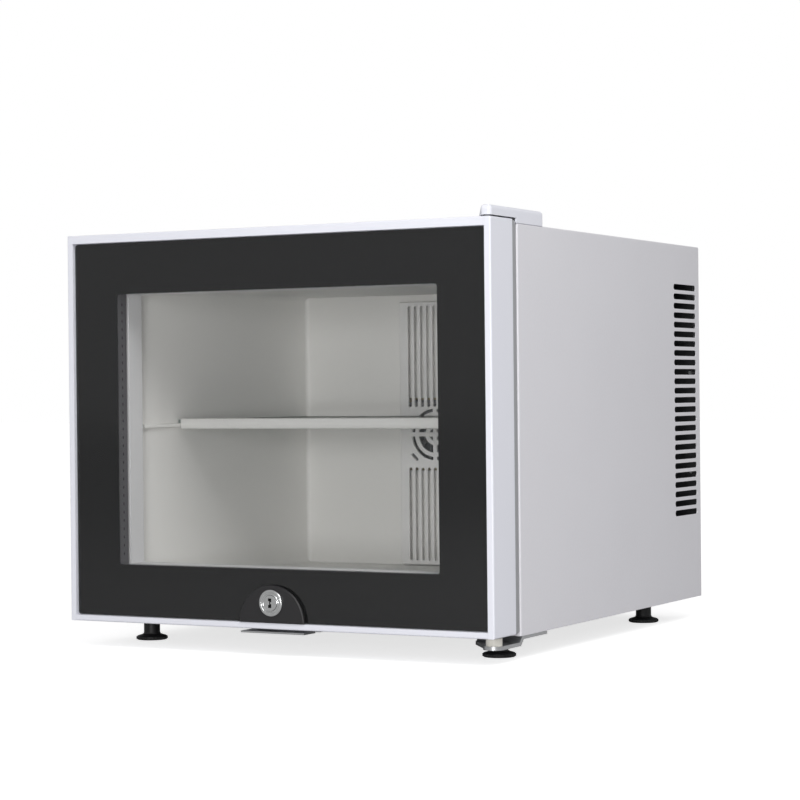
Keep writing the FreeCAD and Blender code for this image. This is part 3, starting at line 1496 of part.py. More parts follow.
def make_bushes():
    """Flanged bushes in the door's rails, in which the hinge pins turn."""
    spot = [(HINGE_X, "hinge_setback")]
    body = new_body("door_hinge_bushes")
    for pin, low, flange in (
        ("top_pin_radius", f"({DOOR_HIGH} - pin_depth)", DOOR_HIGH),
        ("low_pin_radius", DOOR_LOW, f"({DOOR_LOW} - bush_flange_height)"),
    ):
        outer = f"({pin} + running_clearance + bush_wall)"
        disc(body, "XY", low, "pin_depth", spot, outer)
        disc(body, "XY", flange, "bush_flange_height", spot, f"{outer} + bush_flange")
        start = f"{low} - bush_flange_height"
        length = "pin_depth + 2 * bush_flange_height"
        disc(body, "XY", start, length, spot, f"{pin} + running_clearance", cut=True)
    finish(body, "door_hinge_bushes")


# Lock


def make_lock():
    """Cam lock at the door's lower edge: escutcheon, barrel, nut, key plug and cam."""
    spot = [("0", LOCK_Z)]
    plate = new_body("lock_escutcheon")
    disc(plate, "XZ", LOCK_FACE, "escutcheon_proud", [("0", PANE_LOW)], "escutcheon_radius")
    front = value(LOCK_FACE)
    soften(plate, "escutcheon_edge", lambda box: near(box.YMin, front) and near(box.YMax, front))
    below = f"({PANE_LOW} - escutcheon_radius - 1)"
    half = "(escutcheon_radius + 1)"
    block(
        plate,
        "XZ",
        f"{LOCK_FACE} - 1",
        "escutcheon_proud + 2",
        [(f"-{half}", below, half, PANE_LOW)],
        cut=True,
    )
    hole = "(lock_body_radius + hole_clearance)"
    disc(plate, "XZ", LOCK_FACE, "escutcheon_proud", spot, hole, cut=True)
    finish(plate, "lock_escutcheon")

    barrel = new_body("lock_barrel")
    disc(barrel, "XZ", LOCK_FACE, "lock_body_length", spot, "lock_body_radius")
    disc(barrel, "XZ", f"{LOCK_FACE} - lock_head_height", "lock_head_height", spot, "lock_head_radius")
    rim = value(f"{LOCK_FACE} - lock_head_height")
    soften(barrel, "lock_head_height / 3", lambda box: near(box.YMin, rim) and near(box.YMax, rim))
    whole = "lock_head_height + lock_body_length"
    bore = "(plug_radius + running_clearance)"
    disc(barrel, "XZ", f"{LOCK_FACE} - lock_head_height", whole, spot, bore, cut=True)
    finish(barrel, "lock_barrel")

    nut = new_body("lock_nut")
    disc(nut, "XZ", SEAT_BACK, "nut_gauge", spot, "nut_radius")
    disc(nut, "XZ", SEAT_BACK, "nut_gauge", spot, hole, cut=True)
    finish(nut, "lock_nut")

    plug = new_body("lock_plug")
    disc(plug, "XZ", LOCK_FRONT, f"{LOCK_BACK} - {LOCK_FRONT}", spot, "plug_radius")
    disc(plug, "XZ", LOCK_BACK, "cam_gauge", spot, "plug_tail_radius")
    wide, rise = "(keyway_width / 2)", "(keyway_height / 2)"
    block(
        plug,
        "XZ",
        LOCK_FRONT,
        "keyway_depth",
        [(f"-{wide}", f"{LOCK_Z} - {rise}", wide, f"{LOCK_Z} + {rise}")],
        cut=True,
    )
    finish(plug, "lock_plug")

    cam = new_body("lock_cam")
    start = f"({LOCK_BACK} + hole_clearance)"
    thick = "cam_gauge - hole_clearance"
    across = "(cam_width / 2)"
    disc(cam, "XZ", start, thick, spot, across)
    block(cam, "XZ", start, thick, [("0", f"{LOCK_Z} - {across}", "cam_length", f"{LOCK_Z} + {across}")])
    disc(cam, "XZ", start, thick, spot, "plug_tail_radius + running_clearance", cut=True)
    finish(cam, "lock_cam")


make_outer_wrap()
make_base_plate()
make_foam_insulation()
make_inner_liner()
make_rear_bulkhead()
make_rear_panel()
make_rear_cover()
make_cord_gland()
make_shelf()
make_fan_cover()
make_fan("cold_fan", COLD_FAN_FRONT)
make_fan("hot_fan", HOT_FAN_FRONT)
make_cold_side()
make_hot_sink()
make_power_supply()
make_top_hinge()
make_lower_hinge()
make_lock_keeper()
make_feet()
make_stiles()
make_rails()
make_glass()
make_inner_frame()
make_gasket()
make_bushes()
make_lock()

doc.recompute()
failed = [thing.Label for thing in doc.Objects if {"Invalid", "Error"} & set(thing.State)]
failed += [node.Label for node in nodes if node.Shape.isNull() or not node.Shape.isValid()]
if failed:
    raise RuntimeError(f"these pieces did not build: {', '.join(failed)}")
os.makedirs("parts", exist_ok=True)
for node in nodes:
    node.Shape.exportStep(os.path.join("parts", f"{node.Label}.step"))
print(f"wrote {len(nodes)} sub-parts")
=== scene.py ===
"""Dresses the beverage fridge: finishes, repeated details, studio and camera."""

import logging
import math
from dataclasses import dataclass, field, replace
from enum import Enum
from typing import Any, Iterable, Sequence

import bmesh
import bpy
from mathutils import Matrix, Vector


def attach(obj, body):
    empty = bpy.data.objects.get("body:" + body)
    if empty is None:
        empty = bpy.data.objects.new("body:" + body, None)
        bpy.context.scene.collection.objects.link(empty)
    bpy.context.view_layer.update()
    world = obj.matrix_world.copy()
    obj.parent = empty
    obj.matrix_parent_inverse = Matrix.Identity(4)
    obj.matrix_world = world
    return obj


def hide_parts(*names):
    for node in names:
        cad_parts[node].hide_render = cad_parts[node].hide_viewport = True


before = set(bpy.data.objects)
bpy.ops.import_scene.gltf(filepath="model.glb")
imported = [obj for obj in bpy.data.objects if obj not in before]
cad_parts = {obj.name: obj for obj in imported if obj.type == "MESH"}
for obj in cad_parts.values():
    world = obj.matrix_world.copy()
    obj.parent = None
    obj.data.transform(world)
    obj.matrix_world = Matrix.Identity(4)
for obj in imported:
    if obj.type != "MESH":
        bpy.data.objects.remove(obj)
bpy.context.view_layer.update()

LOG = logging.getLogger("beverage_fridge")
MM = 0.001
# Vertices closer than this, in metres, are one.
WELD = 1e-6
# Facets of a quarter circle in a rounded rectangle.
CORNER_STEPS = 6
# Edges that turn by more than this are rounded.
SHARP_EDGE = math.radians(35)
WHITE = (1.0, 1.0, 1.0, 1.0)
# Depths are counted from the front face of the door, as in the drawing of the part.
DOOR_FRONT = -221.3
# Where the cooler's axis runs, across and up, in millimetres.
COOLER_AXIS = (-16.0, 173.0)
# Turns of a piece's own Z axis to the way that it faces on the object.
FACING_VIEWER = Matrix.Rotation(math.radians(90), 4, "X")
FACING_BACK = Matrix.Rotation(math.radians(-90), 4, "X")
FACING_DOWN = Matrix.Rotation(math.radians(180), 4, "X")
FACING_RIGHT = Matrix.Rotation(math.radians(90), 4, "Y")
FACING_LEFT = Matrix.Rotation(math.radians(-90), 4, "Y")

Ring = list[bmesh.types.BMVert]
# Pairs of millimetres: radius and height, or across and up.
Profile = Sequence[tuple[float, float]]
# Half width, lower and upper edge in millimetres.
Edges = tuple[float, float, float]


def place(x: float, depth: float, z: float) -> Vector:
    """Turns millimetres, with depth counted from the door's front, into the frame's metres.

    Args:
        x: Millimetres to the right of the middle.
        depth: Millimetres behind the door's front face.
        z: Millimetres above the floor.

    Returns:
        The point in metres.
    """
    return Vector((x, depth + DOOR_FRONT, z)) * MM


def linear(hex_colour: str) -> tuple[float, float, float, float]:
    """Turns an sRGB hex colour into linear light.

    Args:
        hex_colour: Six hex digits, with or without a hash.

    Returns:
        Red, green, blue and a full alpha.
    """
    digits = hex_colour.lstrip("#")
    parts = [int(digits[i : i + 2], 16) / 255 for i in (0, 2, 4)]
    red, green, blue = (c / 12.92 if c <= 0.04045 else ((c + 0.055) / 1.055) ** 2.4 for c in parts)
    return red, green, blue, 1.0


def add_node(
    tree: bpy.types.NodeTree, kind: str, inputs: dict[Any, Any] | None = None, **settings: Any
) -> bpy.types.Node:
    """Adds a node, sets its options, and sets or links its inputs.

    Args:
        tree: The tree that gets the node.
        kind: The node's type name.
        inputs: Values or output sockets by input name or index.
        **settings: The node's own options.

    Returns:
        The new node.
    """
    node = tree.nodes.new(kind)
    for name, value in settings.items():
        setattr(node, name, value)
    for key, value in (inputs or {}).items():
        if isinstance(value, bpy.types.NodeSocket):
            tree.links.new(value, node.inputs[key])
        else:
            node.inputs[key].default_value = value
    return node


def calculate(tree: bpy.types.NodeTree, operation: str, *values: Any) -> bpy.types.NodeSocket:
    """Adds a math node.

    Args:
        tree: The tree that gets the node.
        operation: The node's operation.
        *values: Numbers or output sockets.

    Returns:
        The result's socket.
    """
    inputs = dict(enumerate(values))
    return add_node(tree, "ShaderNodeMath", inputs, operation=operation).outputs[0]


def mix_colours(
    tree: bpy.types.NodeTree, share: Any, first: Any, second: Any
) -> bpy.types.NodeSocket:
    """Adds a node that mixes two colours.

    Args:
        tree: The tree that gets the node.
        share: The second colour's share.
        first: The first colour.
        second: The second colour.

    Returns:
        The mixed colour's socket.
    """
    inputs = {0: share, 6: first, 7: second}
    return add_node(tree, "ShaderNodeMix", inputs, data_type="RGBA").outputs[2]


def clear_tree(owner: bpy.types.Material | bpy.types.World) -> bpy.types.NodeTree:
    """Gives a material or a world an empty node tree.

    Args:
        owner: The material or the world.

    Returns:
        Its tree.
    """
    owner.use_nodes = True
    owner.node_tree.nodes.clear()
    return owner.node_tree


class Pattern(Enum):
    """How a finish varies over its surface."""

    GRAIN = "even grain of a moulding or a coat"
    BRUSHED = "long marks along one direction"
    SPANGLE = "crystal patches of hot-dip zinc"
    PLAIN = "smooth with faint smears"


@dataclass(frozen=True)
class Finish:
    """A real material and how its surface was made."""

    name: str
    colour: str
    shade: str
    roughness: float
    pattern: Pattern = Pattern.GRAIN
    grain_mm: float = 1.2
    cloud_mm: float = 90.0
    relief_mm: float = 0.01
    smear: float = 0.06
    metallic: float = 0.0
    ior: float = 1.5
    alpha: float = 1.0
    coat: float = 0.0
    edge_mm: float = 0.0
    marks: tuple[float, float, float] = (1.0, 1.0, 1.0)
    # Colour of the sheet's inner side: a back coat darkened as painted shade of the unlit inside.
    inside: str = ""
    # Half width, front, back and top of the outer skin, in the frame's millimetres.
    skin_mm: tuple[float, float, float, float] = (199.3, -171.5, 218.3, 344.3)

    def _outer_skin(self, tree: bpy.types.NodeTree, coords: bpy.types.NodeSocket) -> bpy.types.NodeSocket:
        """Tells the outer skin of the cabinet from the sheet's inner side, which gets the painted shade.

        Args:
            tree: The material's tree.
            coords: Object coordinates.

        Returns:
            One on the outer skin and nought on the inner side.
        """
        side, front, back, top = (limit * MM for limit in self.skin_mm)
        axes = add_node(tree, "ShaderNodeSeparateXYZ", {0: coords}).outputs
        across = calculate(tree, "ABSOLUTE", axes["X"])
        skin = calculate(tree, "GREATER_THAN", across, side)
        for axis, limit, test in (
            ("Y", front, "LESS_THAN"),
            ("Y", back, "GREATER_THAN"),
            ("Z", top, "GREATER_THAN"),
        ):
            part = calculate(tree, test, axes[axis], limit)
            skin = calculate(tree, "MAXIMUM", skin, part)
        return skin

    def _texture(self, tree: bpy.types.NodeTree, coords: bpy.types.NodeSocket) -> bpy.types.NodeSocket:
        """Builds the fine pattern of the surface.

        Args:
            tree: The material's tree.
            coords: Object coordinates.

        Returns:
            The pattern's grey output.
        """
        scale = 1.0 / (self.grain_mm * MM)
        if self.pattern is Pattern.SPANGLE:
            patches = {"Vector": coords, "Scale": scale, "Randomness": 1.0}
            return add_node(tree, "ShaderNodeTexVoronoi", patches).outputs["Color"]
        if self.pattern is Pattern.BRUSHED:
            stretch = {"Vector": coords, "Scale": self.marks}
            coords = add_node(tree, "ShaderNodeMapping", stretch).outputs["Vector"]
        specks = {"Vector": coords, "Scale": scale, "Detail": 3.0, "Roughness": 0.55}
        return add_node(tree, "ShaderNodeTexNoise", specks).outputs["Fac"]

    def material(self) -> bpy.types.Material:
        """Builds the finish as a node material.

        Returns:
            The material.
        """
        made = bpy.data.materials.new(self.name)
        tree = clear_tree(made)
        coords = add_node(tree, "ShaderNodeTexCoord").outputs["Object"]
        fine = self._texture(tree, coords)
        drift = {"Vector": coords, "Scale": 1.0 / (self.cloud_mm * MM), "Detail": 2.0}
        cloud = add_node(tree, "ShaderNodeTexNoise", drift).outputs["Fac"]
        blend = calculate(tree, "MULTIPLY", fine, cloud)
        tone = mix_colours(tree, blend, linear(self.colour), linear(self.shade))
        # The inner side takes the near-black back coat, painted as the shade of the unlit inside.
        if self.inside:
            skin = self._outer_skin(tree, coords)
            tone = mix_colours(tree, skin, linear(self.inside), tone)
        gloss = add_node(
            tree,
            "ShaderNodeMapRange",
            {
                "Value": blend,
                "From Min": 0.1,
                "From Max": 0.5,
                "To Min": max(0.02, self.roughness - self.smear),
                "To Max": min(1.0, self.roughness + self.smear),
            },
        )
        surface = add_node(
            tree,
            "ShaderNodeBsdfPrincipled",
            {
                "Base Color": tone,
                "Roughness": gloss.outputs["Result"],
                "Metallic": self.metallic,
                "IOR": self.ior,
                "Alpha": self.alpha,
                "Coat Weight": self.coat,
            },
        )
        relief = {"Height": fine, "Strength": 0.35, "Distance": self.relief_mm * MM}
        if self.edge_mm:
            rounded = add_node(tree, "ShaderNodeBevel", {"Radius": self.edge_mm * MM}, samples=4)
            relief["Normal"] = rounded.outputs["Normal"]
        bump = add_node(tree, "ShaderNodeBump", relief)
        tree.links.new(bump.outputs["Normal"], surface.inputs["Normal"])
        add_node(tree, "ShaderNodeOutputMaterial", {"Surface": surface.outputs["BSDF"]})
        return made


# Coil-coated steel: an even pale satin with a faint orange peel outside, and inside a back coat painted
# near black: partly the sheet's own back coat, partly painted shade of the unlit cabinet seen through the
# vents.
COATED_STEEL = Finish(
    "coil_coated_steel", "#e0dfe4", "#d7d6db", 0.42, grain_mm=2.2, relief_mm=0.03, edge_mm=0.5,
    inside="#232426"
)
# The same sheet, with the same painted shade on its inner side, on the two back panels, whose outer skins
# lie at other depths.
PANEL_STEEL = replace(
    COATED_STEEL, name="coil_coated_panel_steel", skin_mm=(199.3, -171.5, 217.2, 344.3)
)
COVER_STEEL = replace(
    COATED_STEEL, name="coil_coated_cover_steel", skin_mm=(195.5, -171.5, 220.2, 344.3)
)
# Galvanised sheet: a dull grey metal broken into crystal patches.
GALVANISED = Finish(
    "galvanised_sheet", "#b4b6b8", "#9c9fa2", 0.45, Pattern.SPANGLE, grain_mm=9.0, metallic=0.85,
    relief_mm=0.004
)
# Zinc-plated steel: small stamped parts, a cool satin metal with drawn marks.
ZINC_STEEL = Finish(
    "zinc_plated_steel", "#c9cacb", "#a9abad", 0.34, Pattern.BRUSHED, 0.8, metallic=1.0,
    relief_mm=0.004, marks=(1, 14, 14)
)
# Chromed die-cast lock parts: bright, with light smears from keys and fingers.
CHROME = Finish(
    "chromed_zinc", "#dcdddd", "#b9bbbc", 0.16, Pattern.PLAIN, 3.0, metallic=1.0, relief_mm=0.002,
    smear=0.08
)
# Ground steel pins.
PIN_STEEL = Finish(
    "ground_steel", "#c4c5c6", "#a3a5a6", 0.22, Pattern.BRUSHED, 0.6, metallic=1.0,
    marks=(1, 1, 10)
)
# Satin ABS of the door's outer frame: near white, fine moulded grain.
FRAME_ABS = Finish(
    "moulded_white_abs", "#e6e7ef", "#dfe0e9", 0.36, grain_mm=0.9, relief_mm=0.008, edge_mm=0.5
)
# Satin ABS of the door's inner frame.
INNER_ABS = Finish(
    "moulded_grey_abs", "#e2e2e3", "#d9d9da", 0.5, grain_mm=0.9, relief_mm=0.012, edge_mm=0.6
)
# Vacuum-formed polystyrene liner: near white with a soft sheen.
LINER_HIPS = Finish(
    "vacuum_formed_polystyrene", "#faf9f6", "#f5f4f1", 0.45, grain_mm=1.6, relief_mm=0.015,
    edge_mm=0.8
)
# Injection-moulded duct cover, a little cooler in tone than the liner.
DUCT_ABS = Finish(
    "moulded_duct_abs", "#faf9f8", "#f5f4f3", 0.5, grain_mm=0.8, relief_mm=0.01, edge_mm=0.4
)
# Shelf trim: glossy pale moulding.
TRIM_ABS = Finish(
    "moulded_trim_abs", "#e2e2df", "#d6d6d3", 0.3, grain_mm=1.0, relief_mm=0.006, edge_mm=0.5
)
# Clear float glass, seen by a faint neutral tint.
FLOAT_GLASS = Finish(
    "clear_float_glass", "#8f9191", "#868888", 0.05, Pattern.PLAIN, 40.0, relief_mm=0.001,
    smear=0.02, alpha=0.025
)
# Toughened shelf glass with a greener body.
SHELF_GLASS = Finish(
    "toughened_shelf_glass", "#b9cbc5", "#aabdb7", 0.06, Pattern.PLAIN, 40.0, relief_mm=0.001,
    alpha=0.35
)
# Ceramic ink fired on the back of the pane: deep black that carries the glass's own gloss.
GLASS_INK = Finish(
    "fired_ceramic_ink", "#101011", "#0d0d0e", 0.1, Pattern.PLAIN, 60.0, relief_mm=0.0005,
    smear=0.03
)
# Grey anodised spacer bar with a fine draw.
SPACER_BAR = Finish(
    "anodised_spacer_bar", "#747377", "#656468", 0.4, Pattern.BRUSHED, 0.9, metallic=0.6,
    relief_mm=0.004, marks=(12, 12, 1)
)
# Painted shade: near-black marks for the spacer bar's perforations and the lock's keyway, standing in for
# the shade inside the holes.
PAINTED_HOLE_SHADE = Finish("open_perforation", "#1b1b1c", "#151516", 0.9, grain_mm=0.4, relief_mm=0.0)
# Butyl edge sealant.
SEALANT = Finish("butyl_sealant", "#161617", "#202021", 0.7, grain_mm=2.5, relief_mm=0.1)
# Soft PVC door seal, grey with a slightly waxy sheen.
SEAL_PVC = Finish(
    "extruded_soft_pvc", "#9c9da0", "#929396", 0.55, Pattern.BRUSHED, 1.2, relief_mm=0.01,
    marks=(1, 6, 6)
)
# Plastic-bonded ferrite strip.
FERRITE = Finish("bonded_ferrite", "#2b2a29", "#232221", 0.75, grain_mm=0.6, relief_mm=0.02)
# Black ABS with a spark-eroded texture.
BLACK_ABS = Finish(
    "textured_black_abs", "#1a1a1b", "#232325", 0.5, grain_mm=0.7, relief_mm=0.03, edge_mm=0.3
)
# Grey glass-filled polyester of the fan inside the compartment.
FAN_PBT = Finish(
    "moulded_grey_pbt", "#6f7072", "#666769", 0.5, grain_mm=0.7, relief_mm=0.02, edge_mm=0.3
)
# Lock boss: charcoal moulding with a fine satin face.
BOSS_ABS = Finish(
    "satin_charcoal_abs", "#212022", "#1b1a1c", 0.42, grain_mm=0.6, relief_mm=0.015, edge_mm=0.5
)
# Black rubber-like polypropylene of the feet.
FOOT_PP = Finish(
    "moulded_polypropylene", "#151516", "#1d1d1e", 0.55, grain_mm=1.0, relief_mm=0.03, edge_mm=0.4
)
# Extruded aluminium sinks with die lines along the fins.
ALUMINIUM = Finish(
    "extruded_aluminium", "#c8cacd", "#b2b4b7", 0.38, Pattern.BRUSHED, 0.7, metallic=1.0,
    relief_mm=0.006, marks=(10, 10, 1)
)
# Alumina faces of the thermoelectric module.
ALUMINA = Finish("sintered_alumina", "#ece9e2", "#e2dfd8", 0.65, grain_mm=0.4, relief_mm=0.01)
# Closed-cell foam seal.
CELL_FOAM = Finish("closed_cell_foam", "#2a2a2b", "#1f1f20", 0.9, grain_mm=0.8, relief_mm=0.25)
# Polyurethane foam, cream with open cells.
PU_FOAM = Finish("foamed_polyurethane", "#e6d7a8", "#d8c690", 0.95, grain_mm=1.4, relief_mm=0.3)
# Glass-epoxy board under green solder mask.
BOARD = Finish(
    "glass_epoxy_board", "#1d5a34", "#18492b", 0.35, grain_mm=0.8, relief_mm=0.01, coat=0.2
)
# Transformer and capacitor cases.
CASES = Finish("lacquered_component_case", "#25272c", "#1c1e22", 0.4, grain_mm=0.9, relief_mm=0.02)
# Natural nylon bushes.
NYLON = Finish("natural_nylon", "#dedbd2", "#d0cdc4", 0.45, grain_mm=0.9, relief_mm=0.01)

NODE_FINISHES: dict[Finish, tuple[str, ...]] = {
    COATED_STEEL: ("outer_wrap",),
    PANEL_STEEL: ("rear_panel",),
    COVER_STEEL: ("rear_cover",),
    GALVANISED: ("base_plate", "rear_bulkhead"),
    ZINC_STEEL: (
        "top_hinge_plate",
        "lower_hinge_bracket",
        "lock_keeper",
        "foot_nuts",
        "board_standoffs",
        "lock_nut",
        "lock_cam",
    ),
    PIN_STEEL: ("top_hinge_pin", "lower_hinge_pin"),
    FRAME_ABS: (
        "door_stile_left",
        "door_stile_right",
        "door_rail_top",
        "door_rail_bottom",
        "top_hinge_cover",
    ),
    INNER_ABS: ("door_inner_frame",),
    LINER_HIPS: ("inner_liner",),
    DUCT_ABS: ("fan_cover",),
    FLOAT_GLASS: ("front_glass", "inner_glass"),
    SHELF_GLASS: ("shelf_plate",),
    SPACER_BAR: ("glass_spacer",),
    SEALANT: ("glass_sealant",),
    FERRITE: ("gasket_magnet",),
    FAN_PBT: ("cold_fan_frame",),
    BLACK_ABS: ("hot_fan_frame", "cord_gland"),
    BOSS_ABS: ("lock_escutcheon",),
    ALUMINIUM: ("cold_heat_sink", "hot_heat_sink", "cold_block"),
    ALUMINA: ("peltier_module",),
    CELL_FOAM: ("module_seal",),
    PU_FOAM: ("foam_insulation", "door_foam"),
    BOARD: ("power_board",),
    CASES: ("board_components",),
    NYLON: ("lower_hinge_spacer", "door_hinge_bushes", "temperature_sensor"),
}


class FinishRack:
    """Makes each finish once and hands out its material."""

    def __init__(self) -> None:
        """Starts with no materials made."""
        self._made: dict[Finish, bpy.types.Material] = {}

    def get(self, finish: Finish) -> bpy.types.Material:
        """Gives the material of a finish.

        Args:
            finish: The finish that is wanted.

        Returns:
            Its material, made on first use.
        """
        if finish not in self._made:
            self._made[finish] = finish.material()
        return self._made[finish]

    def coat_nodes(self) -> None:
        """Gives every carried-over node of the frame its finish."""
        for finish, names in NODE_FINISHES.items():
            for name in names:
                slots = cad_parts[name].data.materials
                slots.clear()
                slots.append(self.get(finish))
                LOG.info("%s finished in %s", name, finish.name)


@dataclass(frozen=True)
class Piece:
    """What a new mesh stands for and how it moves."""

    name: str
    body: str
    slot: str
    replaces: tuple[str, ...] = ()

    def hand_over(self, thing: bpy.types.Object) -> bpy.types.Object:
        """Tells the frame which body a finished object rides on and what it replaces.

        Args:
            thing: The finished object, at the origin.

        Returns:
            The same object.
        """
        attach(thing, self.body)
        if self.replaces:
            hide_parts(*self.replaces)
        LOG.info("%s made, riding on %s", self.name, self.body)
        return thing


def link_object(name: str, data: bpy.types.ID) -> bpy.types.Object:
    """Makes an object of some data and links it into the scene.

    Args:
        name: The object's name.
        data: Its mesh, curve, lamp or camera.

    Returns:
        The new object.
    """
    thing = bpy.data.objects.new(name, data)
    bpy.context.collection.objects.link(thing)
    return thing


def settle(build: bmesh.types.BMesh, mesh: bpy.types.Mesh) -> None:
    """Welds an edit mesh, turns its faces outwards and writes it down.

    Args:
        build: The mesh under construction, freed here.
        mesh: The mesh that it is written to.
    """
    bmesh.ops.remove_doubles(build, verts=build.verts, dist=WELD)
    bmesh.ops.recalc_face_normals(build, faces=build.faces)
    build.to_mesh(mesh)
    build.free()


def link_mesh(
    name: str, build: bmesh.types.BMesh, material: bpy.types.Material | None = None
) -> bpy.types.Object:
    """Turns an edit mesh into a linked object.

    Args:
        name: The object's name.
        build: The mesh under construction, freed here.
        material: The finish, if it has one already.

    Returns:
        The new object.
    """
    mesh = bpy.data.meshes.new(name)
    settle(build, mesh)
    if material:
        mesh.materials.append(material)
    return link_object(name, mesh)


def bridge(build: bmesh.types.BMesh, near: Ring, far: Ring) -> list[bmesh.types.BMFace]:
    """Closes the wall between two rings; a ring of one vertex makes the wall a cone.

    Args:
        build: The mesh that gets the wall.
        near: The ring where the wall starts.
        far: The ring where it ends.

    Returns:
        The wall's faces.
    """
    faces = []
    for i in range(max(len(near), len(far))):
        j = i + 1
        corners = [near[i % len(near)], near[j % len(near)], far[j % len(far)], far[i % len(far)]]
        unique = list(dict.fromkeys(corners))
        if len(unique) > 2:
            faces.append(build.faces.new(unique))
    return faces


def grid_border(grid: list[Ring]) -> Ring:
    """Lists the vertices round the edge of a grid.

    Args:
        grid: Rows of vertices.

    Returns:
        The vertices in order, from the first row's start round to it again.
    """
    between = grid[1:-1]
    there = [row[-1] for row in between]
    home = [row[0] for row in reversed(between)]
    return grid[0] + there + grid[-1][::-1] + home


def turn_rings(build: bmesh.types.BMesh, profile: Profile, steps: int, turn: Matrix) -> list[Ring]:
    """Turns a profile about an axis.

    Args:
        build: The mesh that gets the rings and the walls between them.
        profile: Radius and height in millimetres, from one end of the axis to the other.
        steps: Facets round the axis.
        turn: Moves the axis, which is Z, to its place on the object.

    Returns:
        The rings in order, with one vertex for a point on the axis.
    """
    rings = []
    for radius, height in profile:
        angles = [2 * math.pi * i / steps for i in range(steps if radius else 1)]
        points = [Vector((radius * math.cos(a), radius * math.sin(a), height)) * MM for a in angles]
        rings.append([build.verts.new(turn @ point) for point in points])
    for low, high in zip(rings, rings[1:]):
        bridge(build, low, high)
    return rings


def spin_profile(profile: Profile, steps: int, turn: Matrix) -> bmesh.types.BMesh:
    """Makes a turned piece.

    Args:
        profile: Radius and height in millimetres, from one end of the axis to the other.
        steps: Facets round the axis.
        turn: Moves the axis, which is Z, to its place on the object.

    Returns:
        The turned mesh.
    """
    build = bmesh.new()
    turn_rings(build, profile, steps, turn)
    return build


def extrude_outline(outline: Iterable[Vector], reach: Vector) -> bmesh.types.BMesh:
    """Makes a closed prism from a flat outline.

    Args:
        outline: Corner points in order, in metres.
        reach: How far and which way the outline is pushed.

    Returns:
        The prism.
    """
    build = bmesh.new()
    near = [build.verts.new(point) for point in outline]
    far = [build.verts.new(v.co + reach) for v in near]
    build.faces.new(near)
    build.faces.new(list(reversed(far)))
    bridge(build, near, far)
    return build


def rounded_rectangle(size: Edges, corner: float, depth: float) -> list[Vector]:
    """Gives a rectangle with rounded corners, seen from the front.

    Args:
        size: Half width, lower and upper edge in millimetres.
        corner: The corners' radius in millimetres.
        depth: Millimetres behind the door's front face.

    Returns:
        Points in metres, in order round the rectangle.
    """
    half, low, high = size
    across = half - corner
    below, above = low + corner, high - corner
    points = []
    middles = ((across, above), (-across, above), (-across, below), (across, below))
    for quarter, (x, z) in enumerate(middles):
        for step in range(CORNER_STEPS + 1):
            angle = math.pi / 2 * (quarter + step / CORNER_STEPS)
            points.append(place(x + corner * math.cos(angle), depth, z + corner * math.sin(angle)))
    return points


def flat_band(
    outside: Edges, inside: Edges, corner: float, front: float, back: float
) -> bmesh.types.BMesh:
    """Builds a flat band between two rounded rectangles.

    Args:
        outside: The band's outer half width, lower and upper edge in millimetres.
        inside: The same of its inner edge.
        corner: The corners' radius in millimetres.
        front: The front face's depth in millimetres.
        back: The back face's depth in millimetres.

    Returns:
        The mesh.
    """
    build = bmesh.new()
    loops = [
        [build.verts.new(point) for point in rounded_rectangle(size, corner, depth)]
        for size, depth in ((outside, front), (inside, front), (inside, back), (outside, back))
    ]
    for near, far in zip(loops, loops[1:] + loops[:1]):
        bridge(build, near, far)
    return build


def shade_smooth(thing: bpy.types.Object) -> bpy.types.Object:
    """Shades an object smoothly.

    Args:
        thing: The object to finish.

    Returns:
        The same object.
    """
    for polygon in thing.data.polygons:
        polygon.use_smooth = True
    return thing


def soften_edges(thing: bpy.types.Object, width_mm: float, segments: int = 3) -> bpy.types.Object:
    """Rounds the sharp edges of an object and shades it smoothly.

    Args:
        thing: The object to finish.
        width_mm: The rounding's width.
        segments: Facets across the rounding.

    Returns:
        The same object.
    """
    bevel = thing.modifiers.new("edge_rounding", "BEVEL")
    bevel.width = width_mm * MM
    bevel.segments = segments
    bevel.limit_method = "ANGLE"
    bevel.angle_limit = SHARP_EDGE
    bevel.harden_normals = True
    return shade_smooth(thing)


